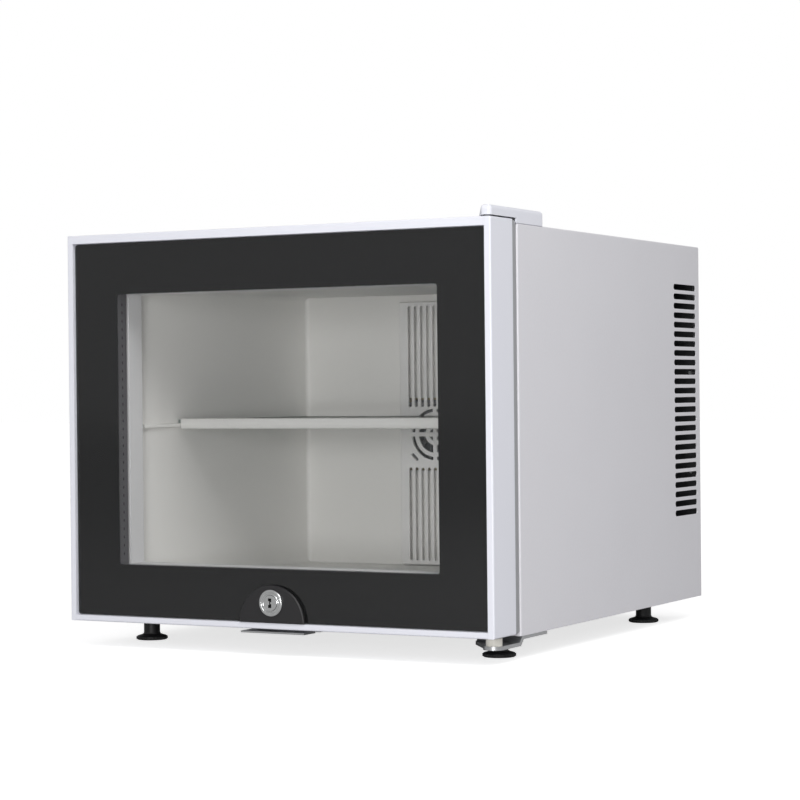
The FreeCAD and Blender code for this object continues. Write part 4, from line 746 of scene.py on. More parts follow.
class ShapeTree:
    """A geometry tree with named inputs, whose result is kept as a plain mesh."""

    def __init__(self, name: str, **inputs: str) -> None:
        """Starts the tree with its inputs.

        Args:
            name: The tree's name.
            **inputs: The kind of each input besides the geometry, the shape and the finish.
        """
        self.tree = bpy.data.node_groups.new(name, "GeometryNodeTree")
        sockets = self.tree.interface
        sockets.new_socket(name="Geometry", in_out="OUTPUT", socket_type="NodeSocketGeometry")
        kinds = {"Geometry": "Geometry", "Shape": "Object", "Finish": "Material", **inputs}
        self.keys = {
            label: sockets.new_socket(
                name=label, in_out="INPUT", socket_type=f"NodeSocket{kind}"
            ).identifier
            for label, kind in kinds.items()
        }
        self.source = add_node(self.tree, "NodeGroupInput").outputs
        info = add_node(
            self.tree,
            "GeometryNodeObjectInfo",
            {"Object": self.source["Shape"]},
            transform_space="ORIGINAL",
        )
        self.shape = info.outputs["Geometry"]

    def close(self, geometry: bpy.types.NodeSocket) -> None:
        """Coats the made geometry and leads it out of the tree.

        Args:
            geometry: What the tree made.
        """
        solid = add_node(self.tree, "GeometryNodeRealizeInstances", {"Geometry": geometry})
        coat = {"Geometry": solid.outputs["Geometry"], "Material": self.source["Finish"]}
        coated = add_node(self.tree, "GeometryNodeSetMaterial", coat)
        add_node(self.tree, "NodeGroupOutput", {"Geometry": coated.outputs["Geometry"]})

    def run(
        self, name: str, shape: bpy.types.Object, spots: Sequence[Vector] = (), **values: Any
    ) -> bpy.types.Object:
        """Runs the tree once and keeps the result.

        Args:
            name: The finished object's name.
            shape: The small shape or section that the tree works with, removed afterwards.
            spots: The points for a tree that works on points, in the tree's own frame.
            **values: The other named inputs.

        Returns:
            The finished object in the tree's own frame.
        """
        points = bpy.data.meshes.new(f"{name}_spots")
        points.from_pydata([tuple(spot) for spot in spots], [], [])
        holder = link_object(f"{name}_holder", points)
        modifier = holder.modifiers.new("shape_tree", "NODES")
        modifier.node_group = self.tree
        for label, value in {"Shape": shape, **values}.items():
            modifier[self.keys[label]] = value
        graph = bpy.context.evaluated_depsgraph_get()
        mesh = bpy.data.meshes.new_from_object(holder.evaluated_get(graph))
        mesh.name = name
        bpy.data.objects.remove(holder)
        bpy.data.objects.remove(shape)
        return link_object(name, mesh)


class Layout(Enum):
    """Where a repeat tree puts its copies."""

    STEPS = "evenly along a line, each turned a little further about Z"
    SPOTS = "on the points of a mesh"


class RepeatTree(ShapeTree):
    """A geometry tree that copies one small shape along a line, round an axis or onto points."""

    def __init__(self, name: str, layout: Layout) -> None:
        """Builds the tree.

        Args:
            name: The tree's name.
            layout: Where the copies go.
        """
        super().__init__(
            name, Count="Int", Seed="Int", Start="Vector", Step="Vector", Twist="Float"
        )
        tree, source = self.tree, self.source
        index = add_node(tree, "GeometryNodeInputIndex").outputs[0]
        if layout is Layout.SPOTS:
            points = source["Geometry"]
            draw = {"Min": 0.0, "Max": source["Twist"], "ID": index, "Seed": source["Seed"]}
            chance = add_node(tree, "FunctionNodeRandomValue", draw, data_type="FLOAT")
            angle = chance.outputs["Value"]
        else:
            row = {
                "Count": source["Count"],
                "Start Location": source["Start"],
                "Offset": source["Step"],
            }
            points = add_node(tree, "GeometryNodeMeshLine", row, mode="OFFSET").outputs["Mesh"]
            angle = calculate(tree, "MULTIPLY", index, source["Twist"])
        euler = add_node(tree, "ShaderNodeCombineXYZ", {"Z": angle})
        turn = add_node(tree, "FunctionNodeEulerToRotation", {"Euler": euler.outputs[0]})
        copies = add_node(
            tree,
            "GeometryNodeInstanceOnPoints",
            {"Points": points, "Instance": self.shape, "Rotation": turn.outputs[0]},
        )
        self.close(copies.outputs["Instances"])


class SweepTree(ShapeTree):
    """A geometry tree that sweeps a section round a rectangular path."""

    def __init__(self) -> None:
        """Builds the tree with the path's width and height as its inputs."""
        super().__init__("seal_sweep", Width="Float", Height="Float")
        path = add_node(
            self.tree,
            "GeometryNodeCurvePrimitiveQuadrilateral",
            {"Width": self.source["Width"], "Height": self.source["Height"]},
        )
        swept = add_node(
            self.tree,
            "GeometryNodeCurveToMesh",
            {"Curve": path.outputs["Curve"], "Profile Curve": self.shape},
        )
        self.close(swept.outputs["Mesh"])


def closed_curve(name: str, section: Profile) -> bpy.types.Object:
    """Draws a closed section as a curve.

    Args:
        name: The curve's name.
        section: Points across and up, in millimetres.

    Returns:
        The curve as an object.
    """
    curve = bpy.data.curves.new(name, "CURVE")
    curve.dimensions = "3D"
    spline = curve.splines.new("POLY")
    spline.points.add(len(section) - 1)
    for point, (across, up) in zip(spline.points, section):
        point.co = (across * MM, up * MM, 0, 1)
    spline.use_cyclic_u = True
    return link_object(name, curve)


@dataclass
class ScrewSet:
    """Cross-recessed pan-head screws that share a node."""

    head_radius: float = 3.6
    head_height: float = 1.8
    shank_radius: float = 1.7
    recess_arm: float = 1.9
    recess_width: float = 0.7
    recess_depth: float = 1.0
    recess_taper: float = 0.55
    steps: int = 32
    seed: int = 7
    # The dome, as shares of the head's radius and height.
    dome: Profile = ((1.0, 0.0), (1.0, 0.35), (0.93, 0.62), (0.78, 0.84), (0.62, 0.95))

    def screw(self, shank: float) -> bpy.types.Object:
        """Makes one screw whose head rises along Z from the seat.

        Args:
            shank: The shank's length in millimetres.

        Returns:
            The screw as an object.
        """
        build = bmesh.new()
        section = [(0.0, -shank), (self.shank_radius, -shank), (self.shank_radius, 0.0)]
        section += [(self.head_radius * r, self.head_height * h) for r, h in self.dome]
        rings = turn_rings(build, section, self.steps, Matrix.Identity(4))
        self._recess(build, rings[-1])
        return link_mesh("screw", build)

    def _recess(self, build: bmesh.types.BMesh, rim: Ring) -> None:
        """Closes the head's crown with a cross-shaped recess.

        Args:
            build: The screw's mesh.
            rim: The crown's edge.
        """
        arm, half, crown = self.recess_arm, self.recess_width / 2, self.head_height
        floor = crown - self.recess_depth
        cross = []
        for quarter in range(4):
            c, s = math.cos(quarter * math.pi / 2), math.sin(quarter * math.pi / 2)
            for x, y in ((arm, -half), (arm, half), (half, half)):
                cross.append((x * c - y * s, x * s + y * c))
        edge = [build.verts.new(Vector((x, y, crown)) * MM) for x, y in cross]
        taper = self.recess_taper
        deep = [build.verts.new(Vector((x * taper, y * taper, floor)) * MM) for x, y in cross]
        bridge(build, edge, deep)
        build.faces.new(deep)
        total = len(rim)
        facing = [round(math.atan2(y, x) / (2 * math.pi) * total) % total for x, y in cross]
        for i, start in enumerate(facing):
            j = (i + 1) % len(cross)
            span = (facing[j] - start) % total
            arc = [rim[(start + k) % total] for k in range(span + 1)]
            build.faces.new([edge[i]] + arc + [edge[j]])

    def build(
        self,
        piece: Piece,
        spots: Sequence[Vector],
        turn: Matrix,
        shank: float,
        rack: FinishRack,
        tree: RepeatTree,
    ) -> None:
        """Copies the screw onto its seats and hands the set over.

        Args:
            piece: What the set stands for.
            spots: The seats in the frame's metres.
            turn: Turns a screw's own axis to the way its head faces.
            shank: The shank's length in millimetres.
            rack: The finishes.
            tree: The tree that copies onto points.
        """
        made = tree.run(
            piece.name,
            self.screw(shank),
            [turn.inverted() @ spot for spot in spots],
            Finish=rack.get(ZINC_STEEL),
            Seed=self.seed,
            Twist=2 * math.pi,
        )
        made.data.transform(turn)
        piece.hand_over(made)


@dataclass
class Cabinet:
    """The screws of the steel cabinet, its hinges, the keeper and the hot sink."""

    screws: ScrewSet = field(default_factory=ScrewSet)
    shank: float = 8.0
    screw_across: float = 193.0
    screw_levels: tuple[float, ...] = (44.0, 136.0, 228.0)
    back_face: float = 442.0
    hinge_screws_x: tuple[float, ...] = (167.75, 185.75)
    # Depth and height of a screw's seat.
    top_seat: tuple[float, float] = (80.0, 347.5)
    low_seat: tuple[float, float] = (93.0, 17.0)
    keeper_seat: tuple[float, float] = (78.0, 18.5)
    keeper_across: float = 18.0
    sink_across: float = 64.5
    sink_rise: float = 48.4
    sink_face: float = 367.5
    sink_shank: float = 7.0

    def build(self, rack: FinishRack, tree: RepeatTree) -> None:
        """Makes all the cabinet's screws.

        Args:
            rack: The finishes.
            tree: The tree that copies onto points.
        """
        sides = (-1, 1)
        back = [
            place(side * self.screw_across, self.back_face, z)
            for side in sides
            for z in self.screw_levels
        ]
        top = [place(x, *self.top_seat) for x in self.hinge_screws_x]
        low = [place(x, *self.low_seat) for x in self.hinge_screws_x]
        low += [place(side * self.keeper_across, *self.keeper_seat) for side in sides]
        axis_x, axis_z = COOLER_AXIS
        sink = [
            place(axis_x + a * self.sink_across, self.sink_face, axis_z + b * self.sink_rise)
            for a in sides
            for b in sides
        ]
        for name, spots, turn, shank in (
            ("rear_cover_screws", back, FACING_BACK, self.shank),
            ("top_hinge_screws", top, Matrix.Identity(4), self.shank),
            ("underside_screws", low, FACING_DOWN, self.shank),
            ("hot_sink_screws", sink, FACING_BACK, self.sink_shank),
        ):
            piece = Piece(f"{name}_dressed", "cabinet", "zinc_steel", (name,))
            self.screws.build(piece, spots, turn, shank, rack, tree)


@dataclass
class Fan:
    """An axial impeller with twisted, forward-curved blades."""

    body: str
    depth_front: float
    depth_back: float
    hub_radius: float
    tip_radius: float
    plastic: Finish = BLACK_ABS
    blades: int = 7
    shaft_radius: float = 1.5
    shaft_length: float = 3.3
    blade_gauge: float = 0.9
    root_pitch: float = 52.0
    tip_pitch: float = 28.0
    root_overlap: float = 0.6
    chord_clearance: float = 0.7
    end_clearance: float = 0.5
    belly: float = 0.1
    camber: float = 0.14
    tip_sweep: float = 3.0
    stations: int = 10
    chordwise: int = 8
    hub_steps: int = 64

    def _blade_point(self, out: float, along: float, side: float) -> Vector:
        """Gives a point of the blade, with the fan's axis along Z.

        Args:
            out: Nought at the blade's root and one at its tip.
            along: Minus one at one edge and one at the other.
            side: Gauges above the blade's middle surface.

        Returns:
            The point in metres.
        """
        reach = (self.depth_back - self.depth_front) / 2
        root = self.hub_radius - self.root_overlap
        radius = root + (self.tip_radius - root) * out
        pitch = math.radians(self.root_pitch + (self.tip_pitch - self.root_pitch) * out)
        chord = (reach - self.chord_clearance) / math.sin(math.radians(self.root_pitch))
        chord *= 1 - self.belly + self.belly * math.sin(math.pi * out)
        bow = self.camber * chord * (1 - along * along)
        swing = chord * along * math.cos(pitch) - bow * math.sin(pitch) + self.tip_sweep * out * out
        rise = chord * along * math.sin(pitch) + bow * math.cos(pitch)
        limit = reach - self.end_clearance
        rise = max(-limit, min(limit, rise)) + side * self.blade_gauge
        angle = swing / radius
        return Vector((radius * math.cos(angle), radius * math.sin(angle), rise)) * MM

    def blade(self) -> bpy.types.Object:
        """Makes one blade that stands out along X.

        Returns:
            The blade as an object.
        """
        build = bmesh.new()
        rows, columns = self.stations, self.chordwise
        low, high = (
            [
                [
                    build.verts.new(self._blade_point(i / rows, 2 * j / columns - 1, side))
                    for j in range(columns + 1)
                ]
                for i in range(rows + 1)
            ]
            for side in (-0.5, 0.5)
        )
        for i in range(rows):
            for j in range(columns):
                build.faces.new([low[i][j], low[i][j + 1], low[i + 1][j + 1], low[i + 1][j]])
                build.faces.new([high[i][j], high[i + 1][j], high[i + 1][j + 1], high[i][j + 1]])
        bridge(build, grid_border(low), grid_border(high))
        return link_mesh("blade", build)

    def hub(self) -> list[tuple[float, float]]:
        """Gives the section of the hub and its shaft.

        Returns:
            Radius and height in millimetres, from the hub's rounded front to the shaft's end.
        """
        r, length = self.hub_radius, self.depth_back - self.depth_front
        end = length + self.shaft_length
        cap = [(0.0, 0.0), (r * 0.55, 0.05), (r - 1.6, 0.3), (r - 0.5, 0.8), (r, 1.8), (r, length)]
        return cap + [(self.shaft_radius, length), (self.shaft_radius, end), (0.0, end)]

    def build(self, node: str, rack: FinishRack, tree: RepeatTree) -> None:
        """Copies the blades round the axis, adds the hub and shaft, and hands the impeller over.

        Args:
            node: The frame's node that the impeller replaces.
            rack: The finishes.
            tree: The tree that copies round an axis.
        """
        axis_x, axis_z = COOLER_AXIS
        middle = place(axis_x, (self.depth_front + self.depth_back) / 2, axis_z)
        finish = rack.get(self.plastic)
        ring = tree.run(
            f"{node}_blades",
            self.blade(),
            Finish=finish,
            Count=self.blades,
            Twist=2 * math.pi / self.blades,
        )
        ring.data.transform(Matrix.Translation(middle) @ FACING_VIEWER)
        seat = Matrix.Translation(place(axis_x, self.depth_front, axis_z)) @ FACING_BACK
        hub = link_mesh(f"{node}_hub", spin_profile(self.hub(), self.hub_steps, seat), finish)
        for thing in (ring, shade_smooth(hub)):
            Piece(thing.name, self.body, "black_plastic", (node,)).hand_over(thing)


@dataclass
class Seal:
    """The soft magnetic seal behind the door's rim, with a folded bellows and a flap outside."""

    width: float = 374.0
    height: float = 308.0
    middle_z: float = 181.0
    band: float = 19.0
    depth_front: float = 40.0
    thickness: float = 7.7
    lip_outside: Edges = (199.5, 22.5, 347.5)
    lip_inside: Edges = (184.5, 29.5, 332.5)
    lip_corner: float = 2.0
    lip_gauge: float = 6.0
    lip_rounding: float = 0.6

    def section(self) -> list[tuple[float, float]]:
        """Gives the seal's section, across and up from the middle of its band.

        Returns:
            Points in millimetres, in order round the section.
        """
        half, t = self.band / 2, self.thickness
        bellows = [(half - 3.0, 0.0), (half - 3.0, 1.2), (half - 0.3, 1.9), (half, 2.6)]
        bellows += [(half - 0.3, 3.3), (half - 2.0, 3.9), (half - 0.4, 4.5), (half, 5.3)]
        right = bellows + [(half, t - 0.9), (half - 0.8, t - 0.15), (half - 2.0, t)]
        return right + [(-x, y) for x, y in reversed(right)]

    def build(self, rack: FinishRack) -> None:
        """Sweeps the seal round the door, lays its flap and hands both over.

        Args:
            rack: The finishes.
        """
        finish = rack.get(SEAL_PVC)
        made = SweepTree().run(
            "door_seal",
            closed_curve("door_seal_section", self.section()),
            Width=(self.width - self.band) * MM,
            Height=(self.height - self.band) * MM,
            Finish=finish,
        )
        below = min(vertex.co.z for vertex in made.data.vertices) < -WELD
        flip = Matrix.Scale(-1, 4, (0, 0, 1)) if below else Matrix.Identity(4)
        seat = Matrix.Translation(place(0, self.depth_front, self.middle_z)) @ FACING_BACK
        made.data.transform(seat @ flip)
        build = bmesh.new()
        build.from_mesh(made.data)
        settle(build, made.data)
        back = self.depth_front + self.lip_gauge
        band = flat_band(
            self.lip_outside, self.lip_inside, self.lip_corner, self.depth_front, back
        )
        lip = soften_edges(link_mesh("door_seal_lip", band, finish), self.lip_rounding)
        for thing in (made, lip):
            Piece(thing.name, "door", "grey_gasket", ("door_gasket",)).hand_over(thing)


@dataclass
class Glazing:
    """The pane's printed border, and the painted shade of the small breathing holes along the spacer bar
    behind it.
    """

    half_width: float = 152.0
    low: float = 70.0
    high: float = 298.0
    depth: float = 11.0
    pitch: float = 7.0
    hole_length: float = 2.4
    hole_width: float = 1.2
    hole_rise: float = 0.06
    hole_steps: int = 12
    ink_front: float = 3.3
    ink_back: float = 3.6
    ink_outside: Edges = (194.1, 27.4, 340.6)
    ink_inside: Edges = (151.5, 70.5, 297.5)
    ink_corner: float = 2.5

    def border(self, rack: FinishRack) -> None:
        """Lays the printed border at the depth where the pane lets it appear, and hands it over.

        Args:
            rack: The finishes.
        """
        band = flat_band(
            self.ink_outside, self.ink_inside, self.ink_corner, self.ink_front, self.ink_back
        )
        made = link_mesh("printed_border", band, rack.get(GLASS_INK))
        Piece("printed_border", "door", "black_glass_print", ("glass_print",)).hand_over(made)

    def hole(self) -> bpy.types.Object:
        """Makes the painted shade of one slot-shaped hole as a thin lozenge that lies across the tree's Z
        axis.

        Returns:
            The hole's painted shade as an object.
        """
        radius, straight = self.hole_width / 2, self.hole_length - self.hole_width
        outline = []
        for i in range(self.hole_steps):
            angle = 2 * math.pi * i / self.hole_steps
            x = radius * math.cos(angle) + math.copysign(straight / 2, math.cos(angle))
            outline.append(Vector((x, radius * math.sin(angle), 0)) * MM)
        return link_mesh("hole", extrude_outline(outline, Vector((0, 0, self.hole_rise * MM))))

    def build(self, rack: FinishRack, tree: RepeatTree) -> None:
        """Lays a row of painted hole shades along each of the spacer's four runs.

        Args:
            rack: The finishes.
            tree: The tree that copies along a line.
        """
        half, low, high = self.half_width, self.low, self.high
        up, right = Vector((0, 0, 1)), Vector((1, 0, 0))
        for name, (x, z), way, run, turn in (
            ("left", (-half, low), up, high - low, FACING_RIGHT),
            ("right", (half, low), up, high - low, FACING_LEFT),
            ("bottom", (-half, low), right, 2 * half, Matrix.Identity(4)),
            ("top", (-half, high), right, 2 * half, FACING_DOWN),
        ):
            count = int(run / self.pitch) - 1
            margin = (run - (count - 1) * self.pitch) / 2
            back = turn.inverted()
            made = tree.run(
                f"spacer_holes_{name}",
                self.hole(),
                Finish=rack.get(PAINTED_HOLE_SHADE),
                Count=count,
                Start=back @ (place(x, self.depth, z) + way * margin * MM),
                Step=back.to_3x3() @ (way * self.pitch * MM),
                Twist=0.0,
            )
            made.data.transform(turn)
            Piece(made.name, "door", "spacer_aluminium").hand_over(made)


@dataclass
class Lock:
    """The cam lock's chromed barrel and turning plug."""

    x: float = 0.0
    z: float = 43.5
    face: float = -1.0
    head_radius: float = 11.0
    head_height: float = 2.0
    body_radius: float = 9.0
    body_length: float = 21.0
    bore_radius: float = 6.45
    barrel_steps: int = 96
    barrel_rounding: float = 0.12
    plug_radius: float = 6.4
    plug_front: float = -3.4
    plug_steps: int = 72
    tail_radius: float = 3.5
    tail_length: float = 2.5
    # Half width, half height and depth of the keyway.
    keyway: tuple[float, float, float] = (1.5, 3.9, 3.6)

    def barrel(self, rack: FinishRack) -> None:
        """Turns the barrel with a stepped, rounded head ring.

        Args:
            rack: The finishes.
        """
        r, h, b = self.head_radius, self.head_height, self.bore_radius
        body, end = self.body_radius, h + self.body_length
        mouth = (b, 0.25)
        section = [mouth, (b + 0.5, 0.0), (b + 1.0, 0.0), (b + 1.25, 0.28), (r - 2.6, 0.28)]
        section += [(r - 2.3, 0.0), (r - 1.3, 0.02), (r - 0.45, 0.35), (r - 0.08, 0.9), (r, 1.4)]
        section += [(r, h), (body, h), (body, end), (b, end), mouth]
        seat = Matrix.Translation(place(self.x, self.face - h, self.z)) @ FACING_BACK
        name = "lock_barrel_dressed"
        turned = spin_profile(section, self.barrel_steps, seat)
        made = soften_edges(link_mesh(name, turned, rack.get(CHROME)), self.barrel_rounding, 2)
        Piece(name, "door", "polished_steel", ("lock_barrel",)).hand_over(made)

    def keyway_outline(self) -> list[tuple[float, float]]:
        """Gives the keyway with a step on each side for the key's grooves.

        Returns:
            Points across and up from the plug's axis, in millimetres.
        """
        half, rise, _ = self.keyway
        right, left = half * 0.35, -half * 0.3
        outline = [(-half, -rise), (half, -rise), (half, -0.6), (right, -0.6), (right, 0.9)]
        outline += [(half, 0.9), (half, rise), (-half, rise), (-half, 1.6), (left, 1.6)]
        return outline + [(left, -1.4), (-half, -1.4)]

    def plug(self, rack: FinishRack) -> None:
        """Makes the plug with a rounded face and a stepped keyway.

        Args:
            rack: The finishes.
        """
        r, tail = self.plug_radius, self.tail_radius
        end = self.face + self.body_length - self.plug_front
        section = [(r - 0.5, 0.0), (r - 0.12, 0.12), (r, 0.5), (r, end)]
        section += [(tail, end), (tail, end + self.tail_length)]
        seat = Matrix.Translation(place(self.x, self.plug_front, self.z)) @ FACING_BACK
        build = bmesh.new()
        rings = turn_rings(build, section, self.plug_steps, seat)
        build.faces.new(rings[-1])
        depth = self.keyway[-1]
        mouth, floor = (
            [
                build.verts.new(seat @ (Vector((x, -z, level)) * MM))
                for x, z in self.keyway_outline()
            ]
            for level in (0.0, depth)
        )
        # The keyway's floor and walls take the painted hole shade, standing in for the shade inside the
        # recess.
        for wall in [build.faces.new(floor)] + bridge(build, mouth, floor):
            wall.material_index = 1
        edges = [
            build.edges.get(pair)
            for loop in (rings[0], mouth)
            for pair in zip(loop, loop[1:] + loop[:1])
        ]
        bmesh.ops.triangle_fill(build, use_beauty=True, use_dissolve=False, edges=edges)
        made = link_mesh("lock_plug_dressed", build, rack.get(CHROME))
        # Second slot: the painted shade of the keyway.
        made.data.materials.append(rack.get(PAINTED_HOLE_SHADE))
        Piece("lock_plug_dressed", "lock", "polished_steel", ("lock_plug",)).hand_over(made)


@dataclass
class Feet:
    """Screw feet with a gripped pad, a plain neck and a threaded stud."""

    # Corner, millimetres across and depth of each foot.
    spots: tuple[tuple[str, float, float], ...] = (
        ("front_left", -168.0, 74.0),
        ("front_right", 168.0, 74.0),
        ("rear_left", -168.0, 376.0),
        ("rear_right", 168.0, 376.0),
    )
    pad_radius: float = 13.7
    neck_radius: float = 7.0
    neck_height: float = 16.5
    stud_radius: float = 4.0
    stud_top: float = 43.5
    thread_pitch: float = 1.25
    thread_depth: float = 0.45
    rounding: float = 0.15
    steps: int = 48
    grips: int = 36
    grip_root: float = 0.9
    grip_reach: float = 0.85
    grip_half: float = 0.75
    grip_low: float = 0.7
    grip_tall: float = 1.9

    def section(self) -> list[tuple[float, float]]:
        """Gives the foot's turned section with rounded corners and thread grooves.

        Returns:
            Radius and height in millimetres, from the floor up.
        """
        pad, neck, stud = self.pad_radius - 0.5, self.neck_radius, self.stud_radius
        root, top, end = stud - self.thread_depth, self.neck_height, self.stud_top
        points = [(0.0, 0.6), (pad - 4.0, 0.6), (pad - 3.4, 0.0), (pad - 0.7, 0.0), (pad, 0.6)]
        points += [(pad, 2.6), (pad - 0.6, 3.3), (neck + 2.2, 4.3), (neck + 0.6, 5.0), (neck, 6.4)]
        points += [(neck, top - 0.6), (neck - 0.6, top), (root, top)]
        level = top + self.thread_pitch
        while level < end - self.thread_pitch:
            crest = level + self.thread_depth
            points += [(root, level), (stud, crest), (stud, level + 0.65), (root, level + 1.1)]
            level += self.thread_pitch
        return points + [(root, end - 0.2), (stud - 0.8, end), (0.0, end)]

    def grip(self) -> bpy.types.Object:
        """Makes one rounded rib of the pad's edge, standing out along X.

        Returns:
            The rib as an object.
        """
        middle = self.pad_radius - self.grip_root
        outline = []
        for angle in (math.radians(degrees) for degrees in range(-90, 91, 30)):
            x, y = middle + self.grip_reach * math.cos(angle), self.grip_half * math.sin(angle)
            outline.append(Vector((x, y, self.grip_low)) * MM)
        return link_mesh("grip", extrude_outline(outline, Vector((0, 0, self.grip_tall * MM))))

    def build(self, rack: FinishRack, tree: RepeatTree) -> None:
        """Turns each foot, rings its pad with ribs and hands both over.

        Args:
            rack: The finishes.
            tree: The tree that copies round an axis.
        """
        finish = rack.get(FOOT_PP)
        for corner, x, depth in self.spots:
            node = f"foot_{corner}"
            seat = Matrix.Translation(place(x, depth, 0))
            turned = spin_profile(self.section(), self.steps, seat)
            made = soften_edges(link_mesh(f"{node}_turned", turned, finish), self.rounding, 2)
            ribs = tree.run(
                f"{node}_grips",
                self.grip(),
                Finish=finish,
                Count=self.grips,
                Twist=2 * math.pi / self.grips,
            )
            ribs.data.transform(seat)
            for thing in (made, ribs):
                Piece(thing.name, f"{corner}_foot", "black_plastic", (node,)).hand_over(thing)


@dataclass
class Shelf:
    """The moulded nosing along the front of the glass shelf."""

    half_width: float = 155.4
    front: float = 103.0
    depth: float = 12.0
    low: float = 182.2
    high: float = 191.6
    plate_low: float = 187.4
    plate_high: float = 190.6
    plate_front: float = 105.9
    rounding: float = 0.25

    def section(self) -> list[tuple[float, float]]:
        """Gives the nosing's section with the slot that takes the plate.

        Returns:
            Depth and height in millimetres, in order round the section.
        """
        f, b, low, high = self.front, self.front + self.depth, self.low, self.high
        slot_low, slot_high, slot_end = self.plate_low, self.plate_high, self.plate_front
        nose = [(f + 3.0, low), (f + 1.2, low + 0.5), (f + 0.3, low + 1.8), (f, low + 4.0)]
        nose += [(f, high - 2.0), (f + 0.5, high - 0.6), (f + 1.6, high)]
        upper = [(b - 0.6, high), (b, high - 0.4), (b, slot_high), (slot_end, slot_high)]
        lower = [(slot_end, slot_low), (b, slot_low), (b, slot_low - 1.6)]
        return nose + upper + lower + [(f + 5.2, slot_low - 2.0), (f + 4.4, low + 1.0)]

    def build(self, rack: FinishRack) -> None:
        """Pulls the nosing's section across the shelf and hands it over.

        Args:
            rack: The finishes.
        """
        outline = [place(-self.half_width, depth, z) for depth, z in self.section()]
        pulled = extrude_outline(outline, Vector((2 * self.half_width * MM, 0, 0)))
        made = soften_edges(link_mesh("shelf_nosing", pulled, rack.get(TRIM_ABS)), self.rounding, 2)
        Piece("shelf_nosing", "shelf", "shelf_trim_plastic", ("shelf_trim",)).hand_over(made)


@dataclass(frozen=True)
class Softbox:
    """A square soft lamp: its name, its place and side in metres, and its power in watts."""

    name: str
    where: tuple[float, float, float]
    side: float
    watts: float

    def hang(self, target: Vector) -> None:
        """Adds the lamp to the scene.

        Args:
            target: Where it is aimed, in metres.
        """
        data = bpy.data.lights.new(self.name, "AREA")
        data.shape = "SQUARE"
        data.size = self.side
        data.energy = self.watts
        lamp = link_object(self.name, data)
        lamp.location = self.where
        lamp.rotation_euler = (target - Vector(self.where)).to_track_quat("-Z", "Y").to_euler()


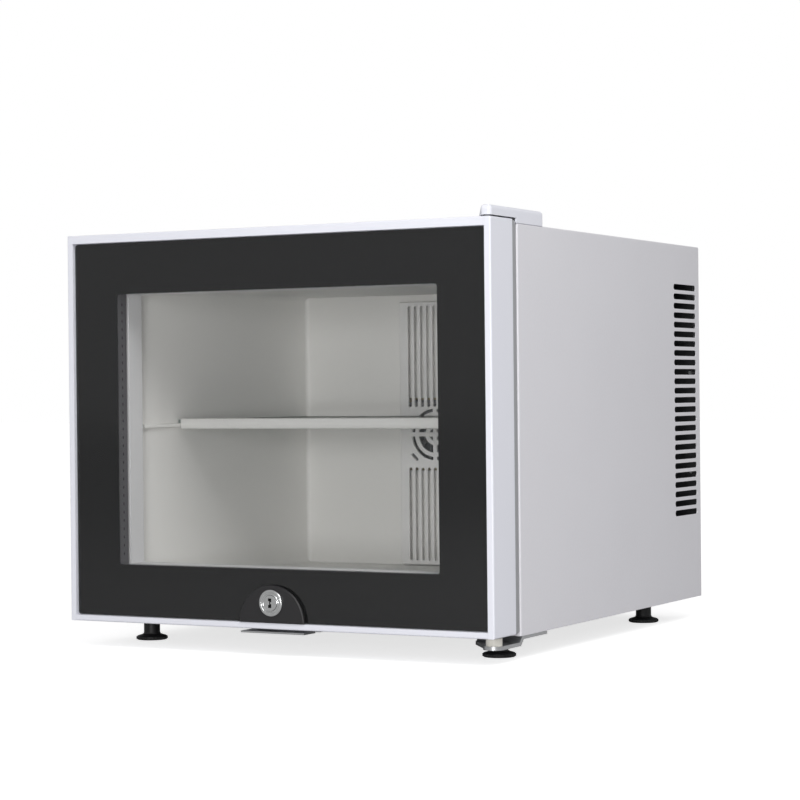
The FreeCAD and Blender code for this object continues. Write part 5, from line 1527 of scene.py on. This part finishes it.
@dataclass
class Studio:
    """White surroundings, soft lamps and the camera at the photograph's angle."""

    # The camera's place in millimetres, its angles in degrees and its lens in millimetres.
    eye: tuple[float, float, float] = (990.753, -1612.614, 214.684)
    yaw: float = 28.375
    pitch: float = -0.245
    roll: float = 0.577
    lens: float = 105.15
    sensor: float = 36.0
    nearest: float = 0.05
    ambient: float = 0.47
    floor_colour: str = "#d2d2d2"
    floor_lift: float = 0.73
    floor_size: float = 12.0
    target: tuple[float, float, float] = (0.0, 0.0, 0.17)
    lamps: tuple[Softbox, ...] = (
        Softbox("front_softbox", (0.3, -2.3, 1.4), 1.5, 2.0),
        Softbox("window_softbox", (0.75, -2.2, 0.26), 0.5, 16.8),
        Softbox("side_softbox", (0.9, -0.85, 1.25), 0.7, 10.3),
    )

    def camera(self) -> None:
        """Sets the camera from the solved view of the photograph."""
        yaw, pitch, roll = (math.radians(a) for a in (self.yaw, self.pitch, self.roll))
        level = Vector((math.cos(yaw), math.sin(yaw), 0))
        flat = Vector((-math.sin(yaw), math.cos(yaw), 0))
        ahead = flat * math.cos(pitch) + Vector((0, 0, math.sin(pitch)))
        down = ahead.cross(level)
        right = math.cos(roll) * level + math.sin(roll) * down
        below = -math.sin(roll) * level + math.cos(roll) * down
        data = bpy.data.cameras.new("photo_camera")
        data.lens = self.lens
        data.sensor_width = self.sensor
        data.sensor_fit = "HORIZONTAL"
        data.clip_start = self.nearest
        camera = link_object("photo_camera", data)
        turn = Matrix((right, -below, -ahead)).transposed().to_4x4()
        camera.matrix_world = Matrix.Translation(place(*self.eye)) @ turn
        bpy.context.scene.camera = camera

    def _seen_directly(self, tree: bpy.types.NodeTree) -> bpy.types.NodeSocket:
        """Picks the rays that should see plain white: camera and transmission rays.

        Args:
            tree: The tree that asks.

        Returns:
            One for such a ray and nought for the others.
        """
        path = add_node(tree, "ShaderNodeLightPath").outputs
        return calculate(tree, "MAXIMUM", path["Is Camera Ray"], path["Is Transmission Ray"])

    def backdrop(self) -> None:
        """Makes the white world and the pale floor, which keeps the object's shadow."""
        world = bpy.data.worlds.new("white_studio")
        bpy.context.scene.world = world
        tree = clear_tree(world)
        light = {"Value": self._seen_directly(tree), "To Min": self.ambient, "To Max": 1.0}
        level = add_node(tree, "ShaderNodeMapRange", light).outputs["Result"]
        sky = add_node(tree, "ShaderNodeBackground", {"Color": WHITE, "Strength": level})
        add_node(tree, "ShaderNodeOutputWorld", {"Surface": sky.outputs[0]})

        paper = bpy.data.materials.new("white_paper_sweep")
        tree = clear_tree(paper)
        matt = add_node(tree, "ShaderNodeBsdfDiffuse", {"Color": linear(self.floor_colour)})
        lift = calculate(tree, "MULTIPLY", self._seen_directly(tree), self.floor_lift)
        glow = add_node(tree, "ShaderNodeEmission", {"Color": WHITE, "Strength": lift})
        both = add_node(tree, "ShaderNodeAddShader", {0: matt.outputs[0], 1: glow.outputs[0]})
        add_node(tree, "ShaderNodeOutputMaterial", {"Surface": both.outputs[0]})
        build = bmesh.new()
        bmesh.ops.create_grid(build, x_segments=2, y_segments=2, size=self.floor_size)
        link_mesh("floor", build, paper)

    def build(self) -> None:
        """Sets up the whole studio."""
        bpy.context.scene.view_settings.view_transform = "Standard"
        self.camera()
        self.backdrop()
        for lamp in self.lamps:
            lamp.hang(Vector(self.target))


def main() -> None:
    """Builds the studio and dresses every sub-assembly in order."""
    logging.basicConfig(level=logging.INFO, format="%(name)s: %(message)s")
    Studio().build()
    rack = FinishRack()
    rack.coat_nodes()
    on_spots = RepeatTree("copies_on_spots", Layout.SPOTS)
    in_steps = RepeatTree("copies_in_steps", Layout.STEPS)
    Cabinet().build(rack, on_spots)
    cold_fan = Fan(
        "cold_fan",
        depth_front=322.2,
        depth_back=329.7,
        hub_radius=11.0,
        tip_radius=26.5,
        plastic=FAN_PBT,
    )
    cold_fan.build("cold_fan_impeller", rack, in_steps)
    hot_fan = Fan(
        "hot_fan", depth_front=396.7, depth_back=417.2, hub_radius=17.0, tip_radius=42.5
    )
    hot_fan.build("hot_fan_impeller", rack, in_steps)
    Seal().build(rack)
    glazing = Glazing()
    glazing.border(rack)
    glazing.build(rack, in_steps)
    lock = Lock()
    lock.barrel(rack)
    lock.plug(rack)
    Feet().build(rack, in_steps)
    Shelf().build(rack)


if __name__ == "__main__":
    main()
